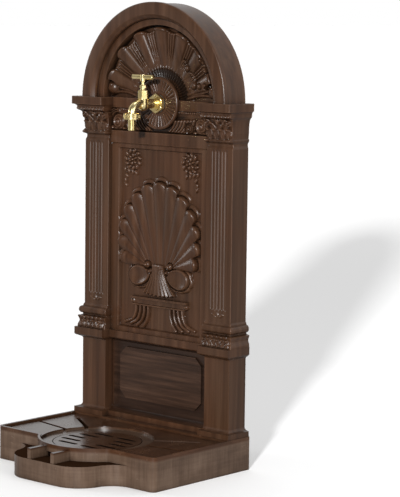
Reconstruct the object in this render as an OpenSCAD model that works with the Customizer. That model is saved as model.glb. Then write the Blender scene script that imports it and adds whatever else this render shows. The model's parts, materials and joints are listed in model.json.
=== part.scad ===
// Freestanding basin fountain: a moulded garden water column with a brass tap
// over a dished basin with a round drain grate.
// Every piece is drawn in one frame: X across, Y from front to back, Z up,
// origin on the floor under the middle of the bounding box.
// Inside the modules y = 0 is the back plane of the column and -y is forward.

/* [Basin] */
// Depth from the back plane to the front of the bow
overall_d = 320; // [305:1:335]
// Width of the basin
tray_w = 374; // [366:1:400]
// Depth of the straight front on either side of the bow
tray_front = 242; // [236:1:250]
// Height of the basin at its corners
tray_h = 58.4; // [56:0.2:64]
// Wall thickness of the basin
tray_wall = 4; // [3:0.5:5]
// Radius of the two front corners
tray_corner_r = 10; // [6:1:20]
// Half length of the flat part of the bow front
bow_flat = 40; // [30:1:50]
// Radius of the bow's round shoulders
bow_r = 54; // [45:1:58]
// Radius of the hollow blend between bow and straight front
bow_blend_r = 40; // [25:1:45]
// Height of the low step of the bow
bow_step_h = 36; // [30:1:38]
// Distance of the drain ring's centre from the back plane
ring_d = 183; // [180:1:188]
// Radius of the flat land round the grate
land_r = 98; // [97.5:0.5:100]
// Height of the flat land round the grate
land_z = 50; // [49:0.25:51]
// Height of the rim of the basin above the raised pads
rim_h = 4; // [2.5:0.25:5]
// Width of the rim of the basin
rim_t = 5; // [4.5:0.25:7]
// Radius of the round front of the upper deck
deck_bow_r = 102; // [100:1:106]
// Width of the grooves between the raised pads
groove_w = 7; // [5:0.5:9]
// Depth that the deck leaves under the land
deck_t = 5; // [4:0.5:6]

/* [Drain] */
// Radius of the drain grate
grate_r = 76; // [70:1:80]
// Thickness of the drain grate
grate_t = 4; // [3:0.5:5]
// Gap round the grate
grate_gap = 1.5; // [1:0.25:2]
// Width of one slot of the grate
slot_w = 9; // [6:0.5:10]
// Spacing of the slots
slot_pitch = 22; // [20:1:26]
// Radius of the plain middle of the grate
grate_hub_r = 29; // [20:1:32]
// Clear width of the overflow channel
channel_w = 47.4; // [40:0.2:56]
// Thickness of the two cheeks of the channel
cheek_t = 7.6; // [5:0.2:10]
// Height of the top of the cheeks
cheek_z = 54; // [50:0.5:56]
// Height of the floor of the sump
sump_floor_z = 11; // [8:1:16]
// Radius of the drain hole in the sump
drain_r = 12; // [8:1:18]

/* [Column] */
// Wall thickness of the moulded column shells
shell_t = 3.5; // [3:0.25:4.5]
// Thickness of the rear covers
cover_t = 3; // [2.5:0.25:4]
// Gap round a rear cover
cover_gap = 0.3; // [0.2:0.1:0.6]
// Inset of the plinth from the sides of the basin
plinth_inset = 1.75; // [1:0.25:4]
// Depth of the plinth blocks
plinth_d = 54.7; // [52:0.1:56]
// Height of the top of the plinth
plinth_z = 73.4; // [70:0.2:78]
// Inset of the pedestal from the sides of the basin
pedestal_inset = 11.2; // [10:0.1:13]
// Depth of the pedestal blocks
pedestal_d = 42.4; // [40:0.2:45]
// Depth of the pedestal wall between the blocks
pedestal_wall_d = 22.6; // [22.4:0.1:26]
// Height of the raised field on the pedestal wall
field_t = 4; // [3:0.5:5]
// Length of the field's cut corners
field_notch = 14; // [8:1:20]
// Width of one of the two blocks of the pedestal
block_w = 56.8; // [53:0.1:60]
// Depth of the pedestal ledge
ledge_d = 56.8; // [54:0.2:60]
// Inset of the pedestal ledge from the sides of the basin
ledge_inset = 3.15; // [2:0.05:5]
// Height of the top of the pedestal ledge
ledge_z = 214.5; // [208:0.5:222]
// Inset of the fluted pilasters from the sides of the basin
shaft_inset = 12.55; // [11.5:0.05:15]
// Depth of the fluted pilasters
shaft_d = 40.6; // [39:0.2:43]
// Depth of the wall between the pilasters
shaft_wall_d = 32.6; // [31.6:0.2:34]
// Width of one pilaster
pilaster_w = 57.85; // [55:0.05:60]
// Plain margin between a pilaster and the sunk panel
panel_margin = 18.1; // [15:0.1:20]
// Depth of the sunk panel
panel_t = 6; // [4:0.5:7]
// Height of the joint between the shaft and the crown
seam_z = 604; // [602:0.5:606]
// Inset of the top cornice from the sides of the basin
cornice_inset = 1; // [0:0.25:4]
// Depth of the cornice blocks
cornice_d = 64.8; // [62:0.2:67]
// Depth of the cornice between its blocks
cornice_wall_d = 34; // [33:0.2:36]
// Height of the top of the cornice
cornice_z = 631.3; // [628:0.1:634]
// Inset of the arch from the sides of the basin
arch_inset = 18.3; // [15:0.1:22]
// Depth of the arch
arch_d = 56.9; // [54:0.1:60]
// Depth of the hollow behind the fan
tympanum_d = 22; // [20:0.5:26]
// Width of the arch ring
ring_w = 40; // [37:0.5:44]

/* [Ornament] */
// Number of smooth lobes of the fan above the tap
fan_lobes = 7; // [5:2:9]
// Number of fine flutes between two lobes of the fan
fan_flutes = 5; // [3:1:5]
// Number of lobes of the shell on the panel
shell_lobes = 15; // [13:2:17]
// Number of ridges round the rosette
rosette_ridges = 34; // [24:2:40]
// Number of flutes on one pilaster
flutes = 5; // [3:1:6]
// Radius of one flute
flute_r = 3.6; // [2:0.1:4]

/* [Tap] */
// Height of the tap's axis above the floor
tap_z = 624.7; // [622:0.1:628]
// Distance of the spindle from the back plane
spindle_d = 77; // [74:0.5:82]
// Distance of the spout's outlet from the back plane
outlet_d = 104; // [102:0.5:108]
// Radius of the rosette
rosette_r = 45.9; // [42:0.1:48]
// Radius of the threaded tail, half-inch pipe
tail_r = 10.48; // [10:0.01:11]
// Outer radius of the spout
spout_r = 6.9; // [6:0.1:7.5]
// Bore radius of the water way
way_r = 4.5; // [3.5:0.1:5]
// Slope of the spout below the horizontal, in degrees
spout_slope = 25; // [20:1:35]
// Radius of the bend at the spout's end
spout_bend = 15; // [12:0.5:18]
// Radius of the spindle
spindle_r = 3.25; // [2.5:0.05:3.5]
// Lift of the valve when the tap is fully open
valve_lift = 3; // [2:0.5:3.5]
// Running clearance of the spindle and the hose nut
run_gap = 0.05; // [0.02:0.01:0.1]
// Length of the cross handle
handle_l = 48.5; // [40:0.5:56]
// Radius of the cross handle
handle_r = 4.35; // [3.5:0.05:5]
// Height of the handle's axis
handle_z = 671.2; // [668:0.2:676]
// Outer radius of the hose nut
nut_r = 14.75; // [14.6:0.05:16]
// Height of the hose nut
nut_h = 10; // [9:0.5:14]
// Height of the top of the hose nut
nut_z = 609.4; // [606:0.2:611]
// Radius of the outlet thread, three-quarter inch
outlet_r = 13; // [12.5:0.05:13.2]
// Outer radius of the hose tail
hose_r = 6.65; // [6:0.05:7.2]
// Length of the hose tail below the nut
hose_l = 18.4; // [14:0.2:26]

/* [Supply] */
// Outer radius of the riser hose
riser_r = 7.5; // [7:0.1:8]
// Bore radius of the riser hose
riser_bore = 6.1; // [5.8:0.1:6.4]
// Distance of the riser from the back plane
riser_d = 13.5; // [12.5:0.5:14]
// Height of the lower end of the inlet connector
inlet_z = 120; // [116:1:124]
// Radius of the inlet connector's tail
inlet_r = 6.6; // [6:0.1:7]
// Length of the inlet connector's tail
inlet_l = 22; // [18:1:26]

/* [Screws] */
// Shank radius of every screw
screw_r = 1.7; // [1.5:0.1:2]
// Head radius of every screw
head_r = 3.4; // [3:0.1:3.8]
// Height of every screw head
head_h = 1.8; // [1.5:0.1:2]
// Radius of a screw boss
boss_r = 5; // [4.5:0.5:6]

/* [Hidden] */
$fn = 64;
eps = 0.02;
far = 400;

brown = [0.30, 0.23, 0.20];
dark_brown = [0.24, 0.18, 0.16];
brass = [0.86, 0.70, 0.32];
steel = [0.72, 0.73, 0.74];
rubber = [0.12, 0.12, 0.12];
hose_green = [0.16, 0.30, 0.18];

// Widths that follow from the basin
plinth_w = tray_w - 2 * plinth_inset;
pedestal_w = tray_w - 2 * pedestal_inset;
ledge_w = tray_w - 2 * ledge_inset;
shaft_w = tray_w - 2 * shaft_inset;
cornice_w = tray_w - 2 * cornice_inset;
arch_r = tray_w / 2 - arch_inset;
tympanum_r = arch_r - ring_w;
block_x = pedestal_w / 2 - block_w;
pilaster_x = shaft_w / 2 - pilaster_w;
panel_x = pilaster_x - panel_margin;

// Heights that follow from the sizes above
pad_z = tray_h - rim_h;
groove_z = land_z + 0.8;
deck_under = land_z - deck_t;
seat_r = grate_r + grate_gap;
ledge_seat_z = land_z - grate_t;
sump_r = seat_r - 3;
cup_r = seat_r + 2;
bow_cut_z = bow_step_h - tray_wall;
plinth_wall_d = pedestal_wall_d + 17.4;
ledge_wall_d = pedestal_wall_d + 15.4;
field_x = block_x - 22;
field_z0 = tray_h + 34;
field_z1 = ledge_z - 29;
frieze_d = shaft_wall_d - 2.6;
panel_floor_d = shaft_wall_d - panel_t;
arch_top = cornice_z + arch_r;
cover_y = -cover_t;
pocket_d = pedestal_wall_d - shell_t;
cover_half = pedestal_w / 2 - shell_t - cover_gap;
shaft_cover_half = shaft_w / 2 - shell_t - cover_gap;
boss_x = shaft_w / 2 - shell_t - boss_r;
pilot_r = screw_r + 0.05;
hole_r = screw_r + 0.2;
flange_t = 4;
join_out = pilaster_x + 33.4;
join_in = pilaster_x - 54.6;
join_x = [-join_out, -join_in, join_in, join_out];
join_d = 14.5;
tray_screw_x = [-join_out, join_out];
tray_screw_d = 24;
shaft_h = seam_z - ledge_z;
pad_r = rosette_r - 6;
door_half = 40;
cover_screw_l = 13;
join_screw_l = 14;
tray_screw_l = 16;

// Heights along the tap
seat_z = tap_z + way_r + 1.2;
body_top = tap_z + 9.5;
bonnet_h = 14;
neck_h = 7;
neck_top = body_top + bonnet_h + neck_h;
washer_t = 2;
jumper_t = 2;
jumper_r = 5.4;
spindle_foot = seat_z + washer_t + jumper_t;
foot_h = 2.2;
foot_r = 4.6;
disc_room = spindle_foot + valve_lift + 0.3 - body_top;
gland_h = 4;
hub_z = handle_z - handle_r - 3;
outlet_end = nut_z - 5.4;
union_t = 1.8;
collar_t = 1.6;
collar_z = outlet_end - union_t - collar_t;
nut_low = nut_z - nut_h;
tail_end = nut_low - hose_l;
shoulder_z = nut_low - 0.4;
shoulder_r = hose_r + 0.8;
rosette_back = cornice_wall_d;
rosette_rim = rosette_back + 6;
flange_face = rosette_rim + 7;
tail_in = cornice_wall_d - 14;
hose_hold = 20;
hex_h = 8;
riser_top = tap_z - 14.3;
riser_low = inlet_z + inlet_l + hex_h + 0.3;

// Helpers

// Everything is drawn from the back plane forward and then centred
module placed() {
  translate([0, overall_d / 2, 0]) children();
}

// A block from x0 to x1, from d0 to d1 in front of the back plane, z0 to z1
module block(x0, x1, d0, d1, z0, z1) {
  translate([x0, -d1, z0]) cube([x1 - x0, d1 - d0, z1 - z0]);
}

module both_sides() {
  children();
  mirror([1, 0, 0]) children();
}

// A cylinder that runs forward from d0 to d1
module rod(x, z, d0, d1, r) {
  translate([x, -d0, z]) rotate([90, 0, 0]) cylinder(h = d1 - d0, r = r);
}

function arc(cx, cy, r, a0, a1, n) =
  [for (i = [0:n]) [cx + r * cos(a0 + (a1 - a0) * i / n), cy + r * sin(a0 + (a1 - a0) * i / n)]];

// A moulding that turns its corners with true mitres. Each point of the
// profile is a share of the full projection and a height.
module course(x0, x1, depth, profile, left, right, front) {
  last = len(profile) - 1;
  intersection() {
    translate([x0 - far / 4, 0, 0]) rotate([90, 0, 90]) linear_extrude(x1 - x0 + far / 2)
      polygon(concat([[0, profile[0][1]]],
        [for (p = profile) [-(depth + front * p[0]), p[1]]],
        [[0, profile[last][1]]]));
    rotate([90, 0, 0]) linear_extrude(depth + far / 4)
      polygon(concat([for (p = profile) [x1 + right * p[0], p[1]]],
        [for (i = [last:-1:0]) [x0 - left * profile[i][0], profile[i][1]]]));
  }
}

// Right half of the front outline seen from above: the straight front runs by a
// hollow blend into a round shoulder, whose centre is x, d
function front_half(x, d, r, blend, inset) =
  let (drop = tray_front + blend - d, across = sqrt(pow(r + blend, 2) - pow(drop, 2)),
    turn = atan2(-drop, across))
  concat(arc(x + across, -(tray_front + blend), blend + inset, 90, 180 + turn, 8),
    arc(x, -d, r - inset, turn, -90, 12));

// Outline of the basin seen from above, with a round form in the middle of its front
function outline(x, d, r, blend, inset) =
  let (half = tray_w / 2 - inset, corner = max(tray_corner_r - inset, 2),
    right = concat([[half, -inset]],
      arc(half - corner, -(tray_front - inset - corner), corner, 0, -90, 6),
      front_half(x, d, r, blend, inset)))
  concat(right, [for (i = [len(right) - 1:-1:0]) [-right[i][0], right[i][1]]]);

module bow_plan(inset) {
  polygon(outline(bow_flat, overall_d - bow_r, bow_r, bow_blend_r, inset));
}

module deck_plan(inset) {
  polygon(outline(0.1, ring_d, deck_bow_r, 12, inset));
}

module screw(length) {
  cylinder(h = head_h, r = head_r);
  translate([0, 0, head_h - eps]) cylinder(h = length - 3, r = screw_r);
  translate([0, 0, head_h + length - 3 - 2 * eps]) cylinder(h = 3, r1 = screw_r, r2 = 0.4);
}

// Screw places: x and height behind the covers
pedestal_screws = [for (x = [-boss_x, boss_x]) for (z = [plinth_z + 18, ledge_z - 24]) [x, z]];
shaft_screws = [for (x = [-boss_x, boss_x]) for (z = [ledge_z + 26, ledge_z + 190, seam_z - 24]) [x, z]];
crown_screws = concat([for (x = [-boss_x, boss_x]) [x, seam_z + 14]],
  [for (a = [35, 90, 145]) [(arch_r - 12) * cos(a), cornice_z + (arch_r - 12) * sin(a)]]);

module bosses(places, depth) {
  for (p = places) rod(p[0], p[1], cover_t, depth, boss_r);
}

module pilots(places) {
  for (p = places) rod(p[0], p[1], 0, cover_t + 15, pilot_r);
}

// Bosses that stand on the bottom flange of a module, for the screws from below
module join_bosses(z) {
  for (x = join_x) translate([x, -join_d, z]) cylinder(h = 15, r = boss_r);
}

// Slot in a flange, through which the riser passes
module hose_slot(z) {
  block(-30, 30, -1, 23.5, z, z + flange_t + 2);
}

module join_holes(z, r, h) {
  for (x = join_x) translate([x, -join_d, z]) cylinder(h = h, r = r);
}

// Basin

module tray_shell() {
  difference() {
    union() {
      linear_extrude(tray_h) deck_plan(0);
      linear_extrude(bow_step_h) bow_plan(0);
    }
    difference() {
      translate([0, 0, -1]) union() {
        linear_extrude(deck_under + 1) deck_plan(tray_wall);
        linear_extrude(bow_cut_z + 1) bow_plan(tray_wall);
      }
      tray_keep();
    }
  }
}

// What stands inside the hollow underside: sump, channel, ribs and bosses
module tray_keep() {
  translate([0, -ring_d, sump_floor_z - 3]) cylinder(h = deck_under, r = cup_r);
  x = channel_w / 2 + 3.5;
  block(-x, x, ring_d + 60, ring_d + deck_bow_r, bow_cut_z - 1, deck_under + 1);
  both_sides() {
    block(sump_r, tray_w / 2 - 1, ring_d - 1.5, ring_d + 1.5, 12, deck_under + 1);
    block(70, 73, 2, 118, 12, deck_under + 1);
  }
  block(-1.5, 1.5, 2, ring_d - sump_r, 12, deck_under + 1);
  for (x = tray_screw_x) translate([x, -tray_screw_d, 20]) cylinder(h = deck_under, r = boss_r + 2);
}

// Round land, and the pads a step above it inside the rim
module dish() {
  translate([0, -ring_d, land_z]) cylinder(h = 20, r = land_r);
  difference() {
    translate([0, 0, pad_z]) linear_extrude(20) deck_plan(rim_t);
    block(-far, far, -1, plinth_d + 2, 0, far);
  }
}

// Grooves along the sides, along the front and between the pads
module pad_grooves() {
  side = tray_w / 2 - rim_t;
  front = tray_front - rim_t;
  both_sides() {
    block(side - groove_w, side, plinth_d + 6, front, groove_z, far);
    block(deck_bow_r - 16, side, front - groove_w, front, groove_z, far);
    for (a = [10, 34])
      translate([0, -ring_d, groove_z]) rotate([0, 0, a])
        translate([land_r - 8, -groove_w / 2, 0]) cube([side - land_r + 4, groove_w, 20]);
  }
}

module base_tray() {
  color(brown) placed() difference() {
    union() {
      tray_shell();
      both_sides()
        block(channel_w / 2, channel_w / 2 + cheek_t, ring_d + deck_bow_r - 6, overall_d - 1.5,
          bow_step_h - 1, cheek_z);
    }
    dish();
    pad_grooves();
    translate([0, -ring_d, ledge_seat_z]) cylinder(h = 20, r = seat_r);
    translate([0, -ring_d, sump_floor_z]) cylinder(h = 60, r = sump_r);
    translate([0, -ring_d, -1]) cylinder(h = 30, r = drain_r);
    block(-channel_w / 2, channel_w / 2, ring_d + 60, ring_d + deck_bow_r + 1, bow_step_h, deck_under);
    for (x = tray_screw_x) translate([x, -tray_screw_d, -1]) {
      cylinder(h = 80, r = hole_r);
      cylinder(h = tray_h - 4, r = head_r + 0.3);
    }
    // Slot in the seat, through which the supply hose can leave downwards
    block(-20, 20, 4, 30, deck_under - 5, far);
  }
}

module slot(d, x0, x1) {
  end = slot_w / 2;
  if (x1 - x0 > slot_w) {
    block(x0 + end, x1 - end, d - end, d + end, ledge_seat_z - 1, land_z + 1);
    for (x = [x0 + end, x1 - end])
      translate([x, -d, ledge_seat_z - 1]) cylinder(h = grate_t + 2, r = end);
  }
}

module drain_grate() {
  rim = grate_r - 7;
  color(brown) placed() difference() {
    translate([0, -ring_d, ledge_seat_z]) cylinder(h = grate_t, r = grate_r, $fn = 128);
    for (k = [-2:2]) {
      off = k * slot_pitch;
      hub = abs(off) < grate_hub_r ? sqrt(pow(grate_hub_r, 2) - off * off) : 5;
      reach = sqrt(pow(rim, 2) - pow(abs(off) + slot_w / 2, 2));
      both_sides() slot(ring_d + off, max(hub, 5), reach);
    }
  }
}

// Column

ledge_profile = concat([[0, plinth_z - 6], [0, ledge_z - 21]],
  [for (i = [0:6]) [0.5 - 0.5 * cos(i * 30), ledge_z - 21 + 8.5 * i / 6]],
  [[1, ledge_z]]);

module pedestal_front() {
  side = (ledge_w - pedestal_w) / 2;
  plinth_side = (plinth_w - pedestal_w) / 2;
  half = pedestal_w / 2;
  color(brown) placed() difference() {
    union() {
      both_sides() {
        course(block_x, half, pedestal_d, plinth_low(), 4, plinth_side, plinth_d - pedestal_d);
        course(block_x, half, pedestal_d, ledge_profile, 5, side, ledge_d - pedestal_d);
      }
      course(-block_x, block_x, pedestal_wall_d, plinth_low(), 1, 1, plinth_wall_d - pedestal_wall_d);
      course(-block_x, block_x, pedestal_wall_d, ledge_profile, 1, 1, ledge_wall_d - pedestal_wall_d);
      raised_field(0, pedestal_wall_d - 1, pedestal_wall_d + field_t);
    }
    difference() {
      pedestal_hollow();
      bosses(pedestal_screws, pedestal_d - shell_t + 1);
      for (x = tray_screw_x) translate([x, -tray_screw_d, tray_h - 1]) cylinder(h = 17, r = boss_r);
    }
    pilots(pedestal_screws);
    for (x = tray_screw_x) translate([x, -tray_screw_d, tray_h - 1]) cylinder(h = 13, r = pilot_r);
    join_holes(ledge_z - flange_t - 1, hole_r, flange_t + 2);
    hose_slot(tray_h - 1);
    hose_slot(ledge_z - flange_t - 1);
  }
}

// The plinth ends in a hollow curve under the pedestal
function plinth_low() = concat([[1, tray_h], [1, plinth_z - 6]],
  [for (i = [1:6]) [1 - sin(i * 15), plinth_z - 6 * cos(i * 15)]]);

module pedestal_hollow() {
  half = pedestal_w / 2 - shell_t;
  top = ledge_z - flange_t;
  low = tray_h + flange_t;
  block(-half, half, -1, pocket_d, low, top);
  // Room for the riser and its nut behind the raised field
  translate([0, -riser_d, low]) cylinder(h = top - low, r = riser_r + 0.4);
  raised_field(shell_t, -1, pedestal_wall_d + field_t - shell_t);
  both_sides() {
    block(block_x + shell_t, half, -1, pedestal_d - shell_t, low, top);
    block(block_x + shell_t, plinth_w / 2 - shell_t, cover_t + 4, plinth_d - shell_t, low, plinth_z - 8);
    block(block_x + shell_t, ledge_w / 2 - shell_t, cover_t + 4, ledge_d - shell_t, ledge_z - 11, top);
  }
}

// Panel with cut corners, drawn smaller by inset
module raised_field(inset, d0, d1) {
  x = field_x - inset;
  z0 = field_z0 + inset;
  z1 = field_z1 - inset;
  n = field_notch;
  relief(d0, d1) polygon([[-x, z0 + n], [n - x, z0], [x - n, z0], [x, z0 + n],
    [x, z1 - n], [x - n, z1], [n - x, z1], [-x, z1 - n]]);
}

module pedestal_back() {
  z0 = tray_h + flange_t + cover_gap;
  z1 = ledge_z - flange_t - cover_gap;
  color(dark_brown) placed() difference() {
    union() {
      block(-cover_half, cover_half, 0, cover_t, z0, z1);
      for (x = [-110, -55, 55, 110]) block(x - 1.5, x + 1.5, cover_t - 1, cover_t + 5, z0 + 4, z1 - 4);
    }
    cover_holes(pedestal_screws);
    block(-door_half, door_half, -1, 12, z0 - 1, inlet_z + inlet_l);
  }
}

module cover_holes(places) {
  for (p = places) {
    rod(p[0], p[1], -1, 12, hole_r);
    rod(p[0], p[1], -1, head_h + 0.2, head_r + 0.3);
  }
}

// Bell of the capital with its neck and bead, up to the joint under the cornice
capital_profile = concat([[0, seam_z - 58], [0, seam_z - 47], [-0.1, seam_z - 45.5], [-0.1, seam_z - 41.5]],
  [for (i = [0:6]) [0.02 + 0.12 * sin(i * 30), seam_z - 36 - 3 * cos(i * 30)]],
  [[0.02, seam_z - 31], [0.08, seam_z - 24], [0.1, seam_z - 14], [0.15, seam_z - 7],
   [0.23, seam_z - 2.5], [0.31, seam_z]]);

foot_profile = concat([[1, ledge_z]],
  [for (i = [0:6]) [1 - 0.15 * (1 - cos(i * 60)), ledge_z + 3 + 17 * i / 6]],
  [[0.25, ledge_z + 22], [0.25, ledge_z + 24]],
  [for (i = [0:6]) [0.3 + 0.55 * sin(i * 30), ledge_z + 31 - 6.5 * cos(i * 30)]],
  [[0.2, ledge_z + 38], [0.2, ledge_z + 40], [0, ledge_z + 43], [0, ledge_z + 50]]);

module shaft_front() {
  half = shaft_w / 2;
  color(brown) placed() difference() {
    union() {
      both_sides() {
        block(pilaster_x, half, 0, shaft_d, ledge_z + 48, seam_z - 56);
        course(pilaster_x, half, shaft_d, foot_profile, 2, 9, 9);
        course(pilaster_x, half, shaft_d, capital_profile, 11.5, 11.5, 24.2);
        capital_leaves();
        foot_leaves();
      }
      block(-pilaster_x, pilaster_x, 0, shaft_wall_d, ledge_z, seam_z - 26);
      block(-pilaster_x, pilaster_x, 0, frieze_d, seam_z - 27, seam_z);
      block(-pilaster_x, pilaster_x, 0, shaft_wall_d + 2, seam_z - 54, seam_z - 30);
      frieze_scrolls();
      rosette_pad(ledge_z, seam_z);
    }
    difference() {
      shaft_hollow();
      bosses(shaft_screws, shaft_d - shell_t + 1);
      join_bosses(ledge_z);
    }
    panel_recess();
    pilots(shaft_screws);
    join_holes(ledge_z - 1, pilot_r, 12);
    join_holes(seam_z - flange_t - 1, hole_r, flange_t + 2);
    hose_slot(ledge_z - 1);
    hose_slot(seam_z - flange_t - 1);
    both_sides() pilaster_flutes();
  }
  color(brown) placed() panel_relief();
}

module shaft_hollow() {
  half = shaft_w / 2 - shell_t;
  block(-half, half, -1, panel_floor_d - shell_t, ledge_z + flange_t, seam_z - flange_t);
  both_sides()
    block(pilaster_x + shell_t, half, -1, shaft_d - shell_t, ledge_z + flange_t, seam_z - flange_t);
}

module pilaster_flutes() {
  width = shaft_w / 2 - pilaster_x;
  pitch = (width - 8) / flutes;
  z0 = ledge_z + 54;
  z1 = seam_z - 56;
  for (i = [0:flutes - 1]) translate([pilaster_x + 4 + pitch * (i + 0.5), -shaft_d - flute_r * 0.35, 0]) {
    translate([0, 0, z0]) cylinder(h = z1 - z0, r = flute_r);
    translate([0, 0, z0]) sphere(r = flute_r);
    translate([0, 0, z1]) sphere(r = flute_r);
  }
}

module panel_recess() {
  block(-panel_x, panel_x, panel_floor_d, shaft_wall_d + 1, ledge_z + 8, seam_z - 60.5);
}

// One tapering lobe that lies on a wall: a cone that runs into a larger ball, its curled lip
module lobe(x, z, depth, angle, reach, r0, r1) {
  translate([x, -depth, z]) rotate([0, 90 - angle, 0]) {
    cylinder(h = reach, r1 = r0, r2 = r1 - 1);
    translate([0, 0, reach]) sphere(r = r1);
  }
}

// Extrudes an outline, drawn as seen from the front, forward from d0 to d1
module relief(d0, d1) {
  translate([0, -d0, 0]) rotate([90, 0, 0]) linear_extrude(d1 - d0) children();
}

// Edge of a shell: arcs of radius b whose centres lie at even steps on a circle
function scallop(cz, r, b, count, step) =
  [for (k = [0:count - 1]) for (j = [0:6])
    let (off = (j / 6 - 0.5) * step * 0.99, a = 90 + (k - (count - 1) / 2) * step + off,
      out = r * cos(off) + sqrt(pow(b, 2) - pow(r * sin(off), 2)))
    [out * cos(a), cz + out * sin(a)]];

// Curved band between two arcs round one centre
function band(cx, cz, r, w, a0, a1) = concat(arc(cx, cz, r, a0, a1, 8), arc(cx, cz, r - w, a1, a0, 8));

module big_shell() {
  umbo_z = ledge_z + 122.5;
  mid_z = umbo_z + 59;
  step = 294 / (shell_lobes - 1);
  difference() {
    union() {
      relief(panel_floor_d - 1, panel_floor_d + 4)
        polygon(concat(scallop(mid_z, 84, 18, shell_lobes, step), [[0, umbo_z - 12]]));
      relief(panel_floor_d - 1, panel_floor_d + 9.5)
        polygon(concat(scallop(mid_z, 75, 17, shell_lobes, step), [[0, umbo_z - 10]]));
    }
    for (k = [0:shell_lobes - 2]) {
      a = 90 + (k + 1 - (shell_lobes - 1) / 2) * step;
      tip = [90 * cos(a), mid_z - umbo_z + 90 * sin(a)];
      turn = atan2(tip[0], tip[1]);
      translate([0, -(panel_floor_d + 10.5), umbo_z]) rotate([0, turn, 0])
        translate([0, 0, 34]) cylinder(h = norm(tip) - 32, r1 = 2.2, r2 = 4.6);
    }
  }
}

module panel_relief() {
  big_shell();
  // Sheaf of ribs below the shell, the slab and its curved legs
  both_sides() {
    for (i = [0:3]) relief(panel_floor_d - 1, panel_floor_d + 5.5 - i)
      polygon(band(62 + 5 * i, ledge_z + 118, 60, 3.2, 184, 228));
    for (i = [0:3]) relief(panel_floor_d - 1, panel_floor_d + 5)
      polygon(band(66 + 9 * i, ledge_z + 52, 34, 4.5, 182, 234));
    spray(panel_x - 30.5, seam_z - 81);
    rod(27, ledge_z + 128, panel_floor_d + 5, panel_floor_d + 11.5, 6.5);
    rod(27, ledge_z + 128, panel_floor_d + 5, panel_floor_d + 13, 3);
    rod(66, ledge_z + 56, panel_floor_d - 1, panel_floor_d + 8, 6.4);
  }
  block(-66, 66, panel_floor_d - 1, panel_floor_d + 5.6, ledge_z + 50.5, ledge_z + 64);
  block(-71, 71, panel_floor_d - 1, panel_floor_d + 7.2, ledge_z + 62, ledge_z + 66.2);
}

// Wreath of small leaves with a tail, in an upper corner of the panel
module spray(x, z) {
  places = concat([for (a = [0:45:315]) [15.5 * cos(a), 15.5 * sin(a), a]],
    [for (a = [30:90:300]) [6.5 * cos(a), 6.5 * sin(a), a + 40]],
    [[3, -24.5, 60], [12, -23, 20], [16, -31, 70], [17, -40, 90]]);
  for (p = places) relief(panel_floor_d - 1, panel_floor_d + 3.6)
    translate([x + p[0], z + p[1]]) rotate([0, 0, p[2]]) polygon(leaf_outline(5.2, 2.4));
}

// Pointed leaf of length 2a and width 2b
function leaf_outline(a, b) =
  concat([for (i = [0:8]) [a * cos(i * 22.5), b * pow(sin(i * 22.5), 1.3)]],
    [for (i = [7:-1:1]) [a * cos(i * 22.5), -b * pow(sin(i * 22.5), 1.3)]]);

// Upright leaves round the bell of a capital
module capital_leaves() {
  step = pilaster_w / 4;
  for (i = [0:3]) upright_leaf(pilaster_x + step * (i + 0.5), seam_z - 33, 14, 5.6, shaft_d + 4.8);
  for (i = [1:3]) upright_leaf(pilaster_x + step * i, seam_z - 22, 11, 4.6, shaft_d + 7.4);
}

// Leaf that stands on z with straight sides and a round tip
module upright_leaf(x, z, h, r, d) {
  relief(shaft_d - 2, d) translate([x, 0])
    polygon(concat([[-0.8 * r, z]], arc(0, z + h, r, 200, -20, 8), [[0.8 * r, z]]));
}

// Leaves on the swelling foot of a pilaster
module foot_leaves() {
  step = pilaster_w / 5;
  for (i = [0:4]) upright_leaf(pilaster_x + step * (i + 0.5), ledge_z + 2.5, 12, 4.8, shaft_d + 10.4);
}

// Two scrolls on each side of the frieze
module frieze_scrolls() {
  both_sides() for (x = [60, 92]) difference() {
    rod(x, seam_z - 14, frieze_d - 1, frieze_d + 3.4, 11.5);
    difference() {
      rod(x, seam_z - 14, frieze_d + 1.4, frieze_d + 6, 9);
      rod(x, seam_z - 14, frieze_d, frieze_d + 7, 4);
    }
  }
}

module shaft_back() {
  z0 = ledge_z + flange_t + cover_gap;
  z1 = seam_z - flange_t - cover_gap;
  color(dark_brown) placed() difference() {
    union() {
      block(-shaft_cover_half, shaft_cover_half, 0, cover_t, z0, z1);
      for (x = [-110, -55, 55, 110]) block(x - 1.5, x + 1.5, cover_t - 1, cover_t + 5, z0 + 6, z1 - 6);
    }
    cover_holes(shaft_screws);
  }
}

// Crown: the cornice, the arch and the fan in one moulding

cornice_profile = concat(
  [[0.31, seam_z], [0.34, seam_z + 0.6], [0.48, seam_z + 2.4], [0.62, seam_z + 4.6], [0.62, seam_z + 8.5]],
  [for (i = [1:5]) [1 - 0.38 * cos(i * 18), seam_z + 8.5 + 5 * sin(i * 18)]],
  [[1, cornice_z]]);

fascia_profile = [[0, seam_z], [0, seam_z + 8], [1, seam_z + 9.5], [1, cornice_z]];

module half_ring(r0, r1, d0, d1) {
  translate([0, -d0, cornice_z]) rotate([90, 0, 0])
    rotate_extrude(angle = 180, $fn = 128) translate([r0, 0]) square([r1 - r0, d1 - d0]);
}

module arch_ring() {
  step_r = tympanum_r + 13.6;
  translate([0, 0, cornice_z]) rotate([90, 0, 0]) rotate_extrude(angle = 180, $fn = 128)
    polygon(concat([[tympanum_r, 0], [tympanum_r, arch_d - 17], [tympanum_r + 2, arch_d - 15],
        [step_r - 2, arch_d - 15]],
      arc(step_r + 4, arch_d - 10, 6, 210, 120, 5),
      [[step_r + 6, arch_d], [arch_r - 3, arch_d]],
      arc(arch_r - 3, arch_d - 3, 3, 90, 0, 4),
      [[arch_r, arch_d - 9], [arch_r - 2.2, arch_d - 11], [arch_r - 2.2, 0]]));
}

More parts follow.
